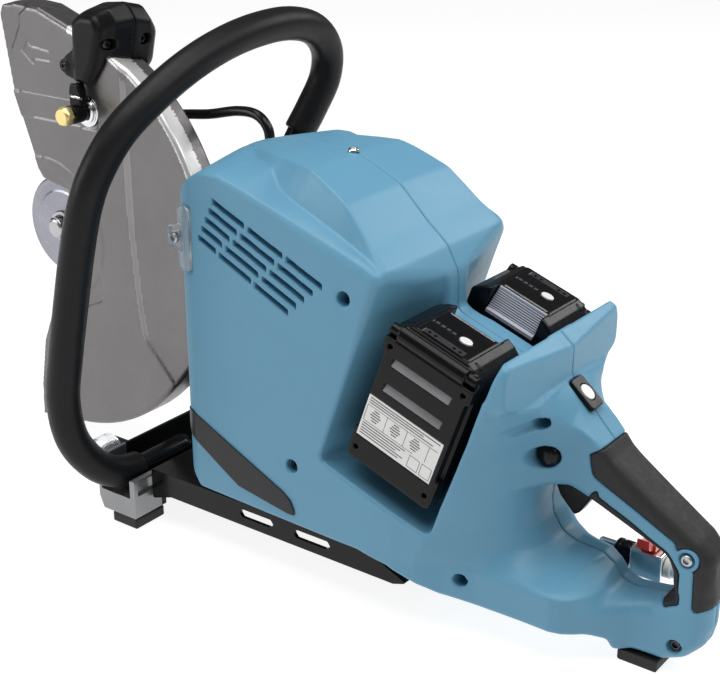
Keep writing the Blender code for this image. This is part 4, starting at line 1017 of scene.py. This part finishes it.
def make_block():
    h = 0.85
    g = Grid((45, -18.5, 338), (112, 41, 414), h)
    x2, z2 = g.ax[0][:, None], g.ax[2][None, :]
    sl = []
    ys = [b[0] for b in BLOCK]
    for y in g.ax[1]:
        # sections keep their full outline towards the ends; the ends themselves are rounded below
        yy = min(max(float(y), -11.0), 34.0)
        i = max(0, min(len(ys) - 2, int(np.searchsorted(ys, yy)) - 1))
        t = (yy - ys[i]) / (ys[i + 1] - ys[i])
        P = [(a[0] + (b[0] - a[0]) * t, a[1] + (b[1] - a[1]) * t) for a, b in zip(BLOCK[i][1], BLOCK[i + 1][1])]
        P = [(*P[0], 4), (*P[1], 5), (*P[2], 30), (*P[3], 11), (*P[4], 10), (*P[5], 14), (*P[6], 8)]
        sl.append(poly_sd(rounded(P, 6, 6), x2, z2))
    sec = np.stack(sl, 1)
    f = rmax(sec, np.abs(g.Y - 11.5) - 27.0, 7.5)
    # arch over the rim and room for the plates
    keep = poly_sd([q[:2] for q in G_OUT], x2, z2)[:, None, :]
    keep = rmax(keep, np.abs(g.Y - 10.3) - 16.9, 4.0) - 0.5
    f = rmax(f, -keep, 1.0)
    for y, z in ((-5.5, 379), (23, 381)):
        bore = np.maximum(np.hypot(g.Y - y, g.Z - z) - 5.0, (85.6 if y < 0 else 97.0) - g.X)
        f = rmax(f, -bore, 0.9)
    # split line between the two mouldings
    seam = np.abs(g.Y - 12.15) - 0.32
    left = np.maximum(f, g.Y - 11.95)
    right = np.maximum(f, 12.35 - g.Y)
    # side lug
    lug = poly_sd(rounded([(62, 376), (44, 365, 5), (38.3, 358, 4), (42, 350.5, 3), (62, 346)], 3, 4), x2, z2)[:, None, :]
    lug = rmax(lug, np.abs(g.Y + 9.5) - 3.6, 1.0)
    left = rmin(left, lug, 1.2)
    gl = Grid((34, -18.5, 338), (112, 41, 414), h)
    x2, z2 = gl.ax[0][:, None], gl.ax[2][None, :]
    pad = int(round((45 - 34) / h))
    big = np.full((len(gl.ax[0]),) + left.shape[1:], 5.0, np.float32)
    n = min(left.shape[0], big.shape[0] - pad)
    big[pad:pad + n] = left[:n]
    gl.lo = (45 - pad * h, -18.5, 338)
    gl.ax[0] = np.arange(big.shape[0]).astype(np.float32) * h + gl.lo[0]
    x2 = gl.ax[0][:, None]
    lug = poly_sd(rounded([(60, 376), (44, 365, 5), (38.0, 358, 5), (42, 350.5, 4), (60, 346)], 3, 4), x2, z2)[:, None, :]
    lug = rmax(lug, np.abs(gl.Y + 9.6) - 3.7, 1.2)
    eye = np.hypot(x2 - 44.0, z2 - 357.8)[:, None, :] - 5.6
    lug = rmin(lug, rmax(eye, np.abs(gl.Y + 9.6) - 4.9, 1.0), 0.8)
    big = rmin(big, lug, 1.5)
    kp = poly_sd([q[:2] for q in G_OUT], x2, z2)[:, None, :]
    kp = rmax(kp, np.abs(gl.Y - 10.3) - 16.9, 4.0) - 0.4
    big = rmax(big, -kp, 0.6)
    gl.X = gl.ax[0][:, None, None]
    gl.build("block_left", big, "black_satin", "guard", "black_plastic", "guard_grip_left")
    g.build("block_right", right, "black_satin", "guard", "black_plastic", "guard_grip_right")
    for k, (y, z) in enumerate(((-5.5, 379), (23, 381))):
        xf = 92.0 if k == 0 else 103.3
        screw("block_screw_%d" % k, (xf - 5, y, z), "x", 1, 4.1, "guard",
              "grip_screw_" + ("left" if k == 0 else "right"))
    screw("lug_screw", (44.0, -14.3, 357.8), "y", -1, 3.1, "guard", None)


def screw(name, at, axis, sign, r, body, node, mat="screw", depth=3.0):
    """Round head with a round sunk socket; the rim faces sign along the axis."""
    t = 1.9
    prof = [(-depth, r * 0.98), (0.5, r), (1.3, r - 0.8), (1.3, r * 0.55), (-0.9, r * 0.50), (-0.9, 0.2)]
    prof = [(sign * a, b) for a, b in prof]
    return lathe(name, prof, at, axis, mat, body, node or (), segs=24, r=0.25)


make_block()
# fitting under the block: stub, chrome clip rings, collar and hexagon plug
prism("fitting_stub", rounded([(51.5, 326), (64.5, 326), (64.5, 339), (62.5, 345.0), (53.5, 345.0), (51.5, 339)], 2.0, 4),
      -18.5, -9.9, "black", "guard", (), bevel=1.6)
lathe("fitting_collar", [(-25.2, 5.6), (-24.2, 7.9), (-12.2, 7.9), (-11.2, 6.9), (-9.9, 6.9)], (58, 0, 320), "y",
      "black", "guard", "spray_elbow", segs=40, r=0.5)
lathe("fitting_clip", [(-9.7, 8.8), (-8.9, 10.9), (-8.1, 10.9), (-7.7, 9.6), (-7.2, 9.6), (-6.8, 12.1), (-6.1, 12.1),
                       (-5.8, 13.4), (-5.2, 13.4)], (58, 0, 320), "y", "chrome", "guard", "spray_clip",
      segs=56, r=0.25)
sweep("fitting_clip_bow", [(50, -12.5, 333), (52, -16.5, 334.5), (56.5, -19.6, 335), (61, -19.4, 334.5), (65, -16, 333)],
      1.25, 12, "chrome", "guard")
lathe("plug", [(-34.0, 6.2), (-33.0, 8.3), (-26.3, 8.3)], (58, 0, 320), "y", "brass", "guard", "brass_plug",
      segs=6, r=0)
lathe("plug_face", [(-34.6, 6.3), (-33.6, 7.2), (-26.0, 7.2)], (58, 0, 320), "y", "brass", "guard", (), segs=40,
      r=0.4)

# spindle side
lathe("flange_face", [(9.4, 14), (9.4, 31), (10.2, 33), (11.2, 40), (11.2, 43.4), (12.4, 45.0), (14.3, 45.0),
                      (14.3, 8.6), (12.2, 8.6), (12.2, 14), (9.4, 14)], (0, 0, SP_Z), "y", "flange", "spindle_set",
      "outer_flange", segs=128, r=0.35)
lathe("bolt_head", [(-1.2, 8.2), (0.2, 9.9), (6.3, 9.9)], (0, 0, SP_Z), "y", "steel", "spindle_set",
      "spindle_bolt", segs=6, r=0)
lathe("bolt_washer", [(6.4, 10.5), (6.4, 13.4), (9.2, 13.4), (9.2, 10.5), (6.4, 10.5)], (0, 0, SP_Z), "y", "steel",
      "spindle_set", (), segs=64, r=0.3)
lathe("bolt_face", [(-1.7, 6.6), (-0.6, 8.4), (6.0, 8.4)], (0, 0, SP_Z), "y", "steel", "spindle_set", (),
      segs=48, r=0.4)


# ------------------------------------------------------------------ front handle
HANDLE_PTS = [(157.3, -12, 41.5), (157, -40, 41.5), (156, -66, 41.5), (153.5, -90, 46), (149, -110, 61), (145, -126, 88),
              (146.5, -133, 125), (155, -134.0, 165), (166, -133.5, 212), (176, -132, 256), (184.5, -129, 290),
              (191, -121, 315), (198, -103, 341), (205, -76, 362), (210, -42, 380), (213, -5, 392),
              (214.5, 34, 398), (214, 74, 397.5), (212, 108, 388), (208, 130, 368), (202.5, 134.3, 343),
              (196.5, 123, 318), (191, 112, 298), (187, 104, 282)]
HL = spline(HANDLE_PTS, 6)


def sleeve_radius(t):
    return 13.5 - 0.5 * (1 - math.cos(2 * math.pi * min(1, max(0, (t - 0.2) / 0.6)))) * 0.5


sweep("handle_sleeve", HL[12:-6], sleeve_radius, 40, "sleeve", "frame", "front_handle_sleeve",
      round_ends=2.2)
sweep("handle_tube", HL[:14], 10.3, 32, "paint_black", "frame", "front_handle_tube")
sweep("handle_tube_end", HL[-8:], 10.3, 32, "paint_black", "frame")
prism("handle_mount", rounded([(172, 250), (202, 250), (202, 268), (194, 276), (180, 276), (172, 268)], 3, 4), 74.0, 118,
      "cast", "frame", "handle_mount_right", bevel=1.5)

# ------------------------------------------------------------------ water hose
HOSE_PTS = [(78, 31.6, 300), (82, 34.5, 303), (90, 41, 308), (106, 44.5, 314), (128, 45, 317.5), (152, 44.5, 321),
            (183, 43, 328), (205, 41, 328.5), (217.5, 40, 320), (220.2, 40, 306), (219.4, 40, 292)]
hose = sweep("hose_line", spline(HOSE_PTS, 8), 4.2, 24, "hose", None, "water_hose")
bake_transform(hose)

# ------------------------------------------------------------------ bracket, rollers, under-frame, feet
BR_POLY = rounded([(140, 9.3), (177.5, 9.3), (177.5, 44), (171.8, 44), (171.8, 27), (138.6, 27), (138.6, 57), (135.6, 57),
                   (135.6, 20)], 1.4, 3)


def carrier_part(name, ya, yb, mat, node, bev=0.9):
    ob = loft(name, [[(x, ya, z) for x, z in BR_POLY], [(x, yb, z) for x, z in BR_POLY]], mat, None, smooth=False)
    if name == "carrier":
        for s in (-1, 1):
            ear = loft("e", [[(x, y, z) for x, z in rounded([(137.5, 38), (137.5, 55), (116, 55), (113.5, 52), (113.5, 43),
                                                            (117, 39)], 3, 4)] for y in sorted((s * 59.5, s * 54.5))],
                       mat, None, smooth=False)
            boolean(ob, ear, "UNION")
    # arches under the base between the feet, and relief pockets in the rear face
    boxes = [(150, 5, 24, y0, y1) for y0, y1 in ((-57, -26), (-18, 18), (26, 57))]
    boxes += [(174.4, 29.5, 41.5, y0, y1) for y0, y1 in ((-89, -65), (-60, -22), (22, 60), (65, 89))]
    for x0, z0, z1, y0, y1 in boxes:
        if y0 > ya and y1 < yb:
            boolean(ob, loft("c", [[(x0, y, z0), (190, y, z0), (190, y, z1), (x0, y, z1)] for y in (y0, y1)], mat, None,
                             smooth=False))
    bevelled(ob, bev)
    return place(ob, "frame", node)


def bracket():
    carrier_part("carrier", -62.0, 62.0, "black_satin", "front_bracket")
    # bare metal end blocks
    carrier_part("carrier_end_left", -93.0, -62.1, "bracket_metal", ())
    carrier_part("carrier_end_right", 62.1, 93.0, "bracket_metal", ())


bracket()
for tag, s in (("left", -1), ("right", 1)):
    y0, y1 = (-80.0, -60.2) if s < 0 else (60.2, 80.0)
    lathe("wheel_" + tag, [(y0, 9.0), (y0 + 1.2, 12.0), (y0 + 3, 12.8), (y1 - 3, 12.8), (y1 - 1.2, 12.0), (y1, 9.0),
                           (y1, 3.6), (y0, 3.6), (y0, 9.0)], (121, 0, 48), "y", "clear", "roller_" + tag,
          "roller_" + tag, segs=48, r=0.4)
    cap = [(-82.8, 4.0), (-82.2, 5.4), (-80.5, 5.4), (-80.5, 3.0), (-56.0, 3.0)]
    if s > 0:
        cap = [(-a, b) for a, b in cap][::-1]
    lathe("wheel_pin_" + tag, cap, (121, 0, 48), "y", "black", "frame", (), segs=32, r=0.3)
    boxed("pad_" + tag, (150, min(s * 93, s * 60), 0.0), (177.5, max(s * 93, s * 60), 9.1), "rubber", "frame",
          "front_foot_" + tag, bevel=1.4)


def prism_raw(poly, y0, y1):
    return loft("raw", [[(x, y0, z) for x, z in poly], [(x, y1, z) for x, z in poly]], "black", None, smooth=False)


def under_frame():
    poly = rounded([(178.5, 49.3), (398, 49.3), (430, 36), (436, 33), (424, 29), (200, 29), (178.5, 22)], 2.0, 3)
    ob = prism_raw(poly, -73.5, 73.5)
    ob.name = "skid_frame"
    ob.data.materials.clear()
    ob.data.materials.append(MATS["paint_black"])
    boolean(ob, prism_raw([(170, 46.1), (396, 46.1), (440, 27), (440, 10), (170, 10)], -70.3, 70.3))
    for x0, x1 in ((278, 310), (333, 366)):
        boolean(ob, prism_raw(rounded([(x0, 43.5), (x1 - 3, 43.5), (x1, 39.5), (x1 - 5, 36.4), (x0, 36.4), (x0 - 3, 40)],
                                      1.5, 3), -80, 80))
    bevelled(ob, 1.1)
    return place(ob, "frame", "under_frame")


under_frame()
boxed("skid_rib", (182, -73.3, 29.4), (186, -70.6, 45.8), "paint_black", "frame", (), bevel=0.4)


def rear_pad():
    ob = prism_raw(rounded([(582, 0), (612.5, 0), (612.5, 8.6), (582, 8.6)], 1.8, 3), -21, 21)
    ob.name = "tail_pad"
    ob.data.materials.clear()
    ob.data.materials.append(MATS["rubber"])
    bevelled(ob, 1.2)
    return place(ob, "frame", "rear_foot")


rear_pad()

# ------------------------------------------------------------------ plate, clip and screws on the housing
def wall_at(x):
    return float(np.interp(x, [228, 230, 233, 238, 240, 266, 289, 313, 330, 345],
                           [74.0, 76.2, 78.6, 80.5, 80.7, 81.9, 82.6, 83.3, 83.85, 84.3]))


def plate_piece():
    bm = bmesh.new()
    xs = np.linspace(229.5, 340.5, 60)
    rows = []
    for x in xs:
        zt = float(np.interp(x, [229.5, 236, 329, 337, 340.5], [121.5, 121.0, 80.5, 75.0, 67.5]))
        zb = float(np.interp(x, [229.5, 236, 284, 334, 340.5], [103, 98.5, 70.5, 63.2, 63.6]))
        yo = -(wall_at(x) + 1.25)
        yi = -(wall_at(x) + 0.12)
        rows.append([bm.verts.new(W3((x, yi, zb))), bm.verts.new(W3((x, yo, zb))), bm.verts.new(W3((x, yo, zt))),
                     bm.verts.new(W3((x, yi, zt)))])
    for a, b in zip(rows, rows[1:]):
        for i in range(4):
            j = (i + 1) % 4
            bm.faces.new((a[i], a[j], b[j], b[i]))
    bm.faces.new(rows[0][::-1])
    bm.faces.new(rows[-1])
    ob = bm_object("name_plate", bm, "label_dark", None, smooth=False)
    bevelled(ob, 0.35, 2, 40)
    return place(ob, "frame", "rating_plate")


plate_piece()
clip = prism("clear_clip", rounded([(231.0, 238), (240, 236), (242.6, 240), (243.0, 283), (240, 287), (231.0, 285)], 2.0, 4),
             -82.6, -80.0, "clear", None, bevel=0)
lug = loft("lug", [[(x, y, z) for x, z in rounded([(221.8, 254), (234, 250), (234, 273), (221.8, 270)], 3, 4)]
                   for y in (-82.6, -76.5)], "clear", None, smooth=False)
boolean(clip, lug, "UNION")
boolean(clip, lathe("cc", [(-90, 4.3), (-60, 4.3)], (229.0, 0, 262.0), "y", "clear", None, segs=32, r=0))
bevelled(clip, 0.6)
place(clip, "frame", "side_clip")
screw("clip_bolt", (229.0, -84.6, 262.0), "y", -1, 4.1, "frame", "clip_screw", "steel", depth=8)
screw("tail_bolt", (625.6, -17.6, 93.2), "y", -1, 4.2, "frame", "housing_screw_tail", "steel", depth=2)
screw("tail_bolt_low", (622.5, -15.0, 24.5), "y", -1, 4.2, "frame", None, "screw", depth=1)
lathe("top_ring", [(0.1, 4.6), (1.5, 4.2), (2.2, 3.4), (2.2, 2.2), (1.2, 2.0), (1.2, 0.2)], (334, 0, 326.6), "z", "chrome",
      "frame", "housing_screw_top", segs=32, r=0.25)
for k, (x, z, y) in enumerate(((388, 248, -74.6), (338, 104, -76.6), (477, 47.5, -52.6))):
    screw("seat_screw_%d" % k, (x, y - 0.6, z), "y", -1, 4.4, "frame", None, "screw", depth=0.4)

# ------------------------------------------------------------------ water valve
def valve():
    ob = prism_raw(rounded([(563, 39), (589, 39), (589, 61), (563, 61)], 2.4, 4), 27, 46)
    ob.name = "valve_block"
    ob.data.materials.clear()
    ob.data.materials.append(MATS["chrome"])
    bevelled(ob, 2.2, 4)
    place(ob, "frame", "valve_body")


valve()
lathe("valve_ring", [(549, 8.4), (550.2, 9.8), (553, 9.8), (553.6, 9.1), (555, 9.1), (555.6, 9.8), (561.6, 9.8),
                     (562.7, 8.8)], (0, 36.5, 50), "x", "black", "frame", "valve_nut", segs=48, r=0.3)
lathe("valve_tube", [(534, 4.2), (535, 4.8), (548.8, 4.8)], (0, 39.5, 50), "x", "chrome", "frame",
      "valve_pipe", segs=32, r=0.3)
lathe("valve_spout", [(589.3, 8.2), (594, 8.2), (595, 6.9), (602, 6.9), (604, 8.3), (610.6, 8.0), (611.8, 6.6)],
      (0, 36.5, 50), "x", "white", "frame", "valve_nipple", segs=48, r=0.5)
lev = prism("tap_lever", rounded([(569.5, 61.5), (582.5, 61.5), (582.5, 67.5), (569.5, 67.5)], 1.2, 3), 29.5, 43.5,
            "red", None, bevel=0)
blade = loft("b", [[(571.2, y, z0), (580.8, y, z0), (580.8, y, z1), (571.2, y, z1)] for y, z0, z1 in
                   ((38, 63.4, 67.0), (28, 63.6, 70.5), (21.5, 66.5, 74.0))], "red", None, smooth=False)
boolean(lev, blade, "UNION")
bevelled(lev, 0.9)
place(lev, "valve_lever", "valve_lever")

# ------------------------------------------------------------------ trigger, lock button, light switch
TRIG = rounded([(517.5, 128), (517.2, 114.5, 2), (521.5, 105, 6), (533.5, 92.6, 2.5), (537.5, 95.5, 3), (546.0, 109.0, 3),
                (546.6, 128)], 2.0, 4)
tr = prism_raw(TRIG, -5.9, 5.9)
tr.name = "trigger_blade"
tr.data.materials.clear()
tr.data.materials.append(MATS["black_satin"])
bevelled(tr, 1.5, 4)
place(tr, "trigger", "trigger")
lathe("lock_cap", [(-30.6, 1.0), (-30.3, 3.4), (-29.4, 6.0), (-28.0, 7.9), (-26.5, 8.6), (-19.4, 8.6)],
      (521.5, 0, 145.5), "y", "black", "lock_button", "lock_button", segs=56, r=0.6)


def light_at(a, b, c):
    return (LIGHT[0] + LT.x * b + LN.x * c, a, LIGHT[2] + LT.z * b + LN.z * c)


def light_part(name, outline, c0, c1, mat, body, node, bevel, cuts=()):
    ob = loft(name, [[light_at(a, b, c0) for a, b in outline], [light_at(a, b, c1) for a, b in outline]], mat, None,
              smooth=False)
    for c in cuts:
        boolean(ob, c)
    bevelled(ob, bevel, 3, 40)
    return place(ob, body, node)


bez = rounded([(-8.2, -12.8), (8.2, -12.8), (8.2, 12.8), (-8.2, 12.8)], 3.2, 5)
oval = [(5.5 * math.cos(2 * math.pi * k / 40), 6.6 * math.sin(2 * math.pi * k / 40)) for k in range(40)]
hole = loft("h", [[light_at(a, b, c) for a, b in oval] for c in (-1.8, 20)], "black", None, smooth=False)
light_part("switch_bezel", bez, -2.7, 1.0, "black", "frame", "light_bezel", 0.9, (hole,))
light_part("switch_button", [(a * 0.93, b * 0.94) for a, b in oval], -0.8, 1.7, "white", "light_button",
           "light_button", 0.8)

# ------------------------------------------------------------------ battery packs
BF0, BF1, BC0, BC1, BYI, BYO = 322.0, 398.0, 252.0, 371.0, 22.0, 83.0
OUT_PROFILE = [(BF0 + 1, BC0, 4), (BF1 - 1, BC0, 4), (BF1, BC0 + 8, 3), (BF1, BC1 - 9, 3), (BF1 - 9, BC1 - 2.5, 3),
               (BF1 - 15, BC1, 3), (BF0 + 15, BC1, 3), (BF0 + 9, BC1 - 2.5, 3), (BF0, BC1 - 9, 3), (BF0, BC0 + 8, 3)]


def battery(tag, s):
    h = 0.75
    g = Grid((BF0 - 1.5, -1.5, BC0 - 1.5), (BF1 + 1.5, 63.0, BC1 + 2.0), h)
    F, V, C = g.X, g.Y, g.Z
    prof = poly_sd(rounded(OUT_PROFILE, 3, 5), g.ax[0][:, None], g.ax[2][None, :])[:, None, :]
    f = rmax(prof, np.maximum(-V, V - 61.0), 2.2)
    # body narrows below the top deck on the outer face
    # shoulder where the edge bar sits
    corner = rmax(357.5 - C, 55.0 - V, 1.5)
    f = rmax(f, -corner, 0.8)
    r1 = np.hypot(V - 54.8, C - 362.0)
    bar = rmax(r1 - 6.7, np.abs(F - 359.2) - 28.8, 0.8)
    pins = rmax(r1 - 4.2, np.abs(F - 359.2) - 37.0, 0.8)
    f = rmin(f, rmin(bar, pins, 0.4), 0.4)
    # two slanted grip pockets in the outer face
    for c0 in (316.6, 337.8):
        slope = 61.0 - 3.4 * np.clip((C - c0) / 7.0, 0, 1)
        pocket = np.maximum(np.maximum(np.abs(F - 359.0) - 25.5, np.maximum(c0 - C, C - c0 - 7.0)), slope - V)
        f = rmax(f, -pocket, 0.5)
    # raised lower field carries the label; side rails stand back
    # shallow seat for the label in the outer face; a raised lower field is outlined but not applied
    field = rmax(poly_sd(rounded([(324, 253), (396, 253), (396, 312), (392, 314.5), (326, 314.5), (324, 312)], 2, 3),
                         g.ax[0][:, None], g.ax[2][None, :])[:, None, :], 60.2 - V, 0.5)
    lab = np.maximum(np.maximum(np.abs(F - 358.6) - 33.4, np.abs(C - 291.0) - 18.2), 60.55 - V)
    f = rmax(f, -lab, 0.3)
    # screw holes at the corners, and rail notches above them
    for fa in (BF0 + 6.5, BF1 - 6.5):
        notch = rmax(rmax(np.abs(F - (BF0 if fa < 360 else BF1)) - 3.0, np.abs(C - 312.0) - 34.0, 2.0), 54.0 - V, 1.0)
        f = rmax(f, -notch, 0.8)
        for cc in (262.5, 351.5):
            f = rmax(f, -np.maximum(np.hypot(F - fa, C - cc) - 2.1, 57.5 - V), 0.4)
    # parting step round the case
    groove = np.maximum(np.abs(V - 47.0) - 0.45, -(prof + 0.9))
    f = rmax(f, -np.where(C > 369.0, 5.0, groove), 0.2)
    # latch ramp at the inner top edge
    ramp = (V - 12.2) * 0.866 - (C - 371.0) * 0.5
    lt = rmax(np.maximum(np.abs(F - 360.0) - 21.8, 346.0 - C), ramp, 0.6)
    f = rmax(f, -lt, 0.6)
    # top deck: strip seat, seat for the cell lights, indicator seat and a thin rectangular groove
    deck = np.maximum(np.maximum(np.abs(F - 360.0) - 17.2, np.abs(V - 48.6) - 3.2), 370.35 - C)
    f = rmax(f, -deck, 0.2)
    row = np.maximum(np.maximum(np.abs(F - 350.5) - 11.0, np.abs(V - 32.8) - 2.0), 370.5 - C)
    f = rmax(f, -row, 0.2)
    seat = np.maximum(np.hypot((F - 367.6) / 1.28, V - 33.0) - 4.4, 367.6 - C)
    f = rmax(f, -seat, 0.3)
    line = np.abs(np.maximum(np.abs(F - 360.0) - 22.6, np.abs(V - 31.0) - 21.6)) - 0.35
    f = rmax(f, -np.maximum(line, 370.4 - C), 0.15)

    def mapping(co):
        out = np.empty_like(co)
        out[:, 0] = co[:, 0] * FX + co[:, 2] * UX
        out[:, 1] = s * (BYI + co[:, 1])
        out[:, 2] = co[:, 0] * FZ + co[:, 2] * UZ
        return out
    body = "battery_" + tag
    g.build("pack_" + tag, f, "black", body, "black_plastic", "battery_%s_case" % tag,
            ratio=0.6, mapping=mapping, flip=s > 0)

    def at(f_, v, c):
        return fc(f_, s * (BYI + v), c)

    def block(name, f0, f1, v0, v1, c0, c1, mat, body_=body, node=(), bevel=0.4):
        ob = loft(name, [[at(f_, v, c) for f_, c in ((f0, c0), (f1, c0), (f1, c1), (f0, c1))] for v in (v0, v1)], mat,
                  None, smooth=False)
        if bevel:
            bevelled(ob, bevel, 2, 40)
        return place(ob, body_, node)

    # latch: ribbed ramp
    prof2 = [(0.7, 348.5), (0.7, 353.5), (2.2, 354.6)]
    n = 9
    for k in range(n):
        a0, a1 = k / n, (k + 0.62) / n
        for a_, d in ((a0, 0.55), (a0 + 0.02, 0.0), (a1, 0.0), (a1 + 0.02, 0.55)):
            v = 2.6 + 7.6 * a_
            c = 355.2 + 13.2 * a_
            prof2.append((v + 0.866 * d, c - 0.5 * d))
    prof2 += [(10.9, 369.8), (12.6, 370.7), (14.6, 370.7), (15.2, 369.6), (15.2, 366.0), (4.2, 348.5)]
    ob = loft("catch_" + tag, [[at(f_, v, c) for v, c in prof2] for f_ in (339.0, 381.0)], "grey_latch", None,
              smooth=False)
    bevelled(ob, 0.25, 2, 40)
    place(ob, body + "_latch", "battery_%s_latch" % tag)
    block("catch_lip_" + tag, 341.0, 379.0, 12.9, 14.7, 370.2, 371.2, "steel", body, (), 0.25)
    # strip with four dark holes
    st = loft("strip_" + tag, [[at(f_, v, c) for f_, v in ((343.2, 45.8), (376.8, 45.8), (376.8, 51.4), (343.2, 51.4))]
                               for c in (370.4, 371.15)], "deck_trim", None, smooth=False)
    for f_ in (347.0, 352.0, 368.0, 373.0):
        ring = [[at(f_ + 1.35 * math.cos(2 * math.pi * k / 20), 48.6 + 1.35 * math.sin(2 * math.pi * k / 20), c)
                 for k in range(20)] for c in (369.5, 372.0)]
        boolean(st, loft("hh", ring, "black", None, smooth=False))
    place(st, body, ())
    for k in range(4):
        f_ = 341.6 + 4.7 * k
        block("cell_light_%s_%d" % (tag, k), f_, f_ + 3.0, 31.6, 34.0, 370.55, 370.95, "led", body, (), 0.12)
    ov = [[at(367.6 + 5.1 * math.cos(2 * math.pi * k / 32), 33.0 + 3.9 * math.sin(2 * math.pi * k / 32), c)
           for k in range(32)] for c in (369.0, 371.3)]
    ob = loft("gauge_" + tag, ov, "label", None, smooth=False)
    bevelled(ob, 0.4, 3, 40)
    place(ob, body + "_button", "battery_%s_button" % tag)
    # painted highlight: light-grey glossy sheets laid on the sloped pocket floors, where the slopes face up into the
    # light
    for k, c0 in enumerate((316.6, 337.8)):
        sec = ((60.95, c0 + 0.5), (57.95, c0 + 6.5), (57.2, c0 + 6.5), (60.2, c0 + 0.5))
        ob = loft("grip_bar_%s_%d" % (tag, k), [[at(f_, v, c) for v, c in sec] for f_ in (334.2, 383.8)], "grip_slope_painted_highlight",
                  None, smooth=False)
        bevelled(ob, 0.15, 2, 40)
        place(ob, body, ())
    # blank data label with plain rules and panels
    block("data_label_" + tag, 325.6, 391.6, 60.6, 61.05, 273.2, 308.8, "label", body, (), 0.12)
    marks = []

    def bar(f0, f1, c0, c1):
        marks.append((f0, f1, c0, c1))
    for k, w in enumerate((0.0, 14.0, 5.0)):
        bar(327.5, 389.5 - w, 306.4 - 2.0 * k, 307.1 - 2.0 * k)
    for k in range(4):
        bar(327.0 + 17.8 * k + (2 if k == 3 else 0), 327.35 + 17.8 * k + (2 if k == 3 else 0), 287.0, 300.6)
    bar(327.0, 390.0, 300.3, 300.65)
    bar(327.0, 372.0, 286.8, 287.15)
    for k in range(5):
        bar(327.5, 366.0 - 3.5 * (k % 3), 284.6 - 2.2 * k, 285.3 - 2.2 * k)
    for a0, a1, b0, b1 in ((370.5, 379.5, 275, 284.5), (381.5, 390.0, 275, 284.5)):
        bar(a0, a1, b0, b0 + 0.35)
        bar(a0, a1, b1, b1 + 0.35)
        bar(a0, a0 + 0.35, b0, b1)
        bar(a1, a1 + 0.35, b0, b1)
    for k in range(3):
        cf = 335.8 + 17.8 * k
        for j in range(5):
            bar(cf - 4.6 + 1.1 * abs(j - 2), cf + 4.6 - 1.1 * abs(j - 2), 289.6 + 2.1 * j, 290.4 + 2.1 * j)
    bm = bmesh.new()
    for f0, f1, c0, c1 in marks:
        a = [bm.verts.new(W3(at(f_, 61.02, c))) for f_, c in ((f0, c0), (f1, c0), (f1, c1), (f0, c1))]
        b = [bm.verts.new(W3(at(f_, 61.12, c))) for f_, c in ((f0, c0), (f1, c0), (f1, c1), (f0, c1))]
        bm.faces.new(a)
        bm.faces.new(b[::-1])
        for i in range(4):
            j = (i + 1) % 4
            bm.faces.new((a[i], b[i], b[j], a[j]))
    bm_object("label_rules_" + tag, bm, "label_dark", body, (), smooth=False)


battery("left", -1.0)
battery("right", 1.0)


# ------------------------------------------------------------------ nodes kept from the frame get fuller materials
SLOT_MATS = {"housing_teal": "teal", "guard_steel": "steel_guard", "flange_steel": "flange", "black_plastic": "black",
             "black_rubber": "rubber", "black_steel": "paint_black", "chrome": "chrome", "brass": "brass",
             "cast_alloy": "cast", "steel": "steel", "copper": "copper", "red_plastic": "red", "white_plastic": "white",
             "grey_plastic": "grey_latch", "clear_plastic": "clear"}
slot_of = {s["node"]: s["material_slot"] for s in frame["record"]["subparts"]}
for n, o in frame["nodes"].items():
    if o.hide_render:
        continue
    o.data.materials.clear()
    o.data.materials.append(MATS[SLOT_MATS[slot_of[n]]])
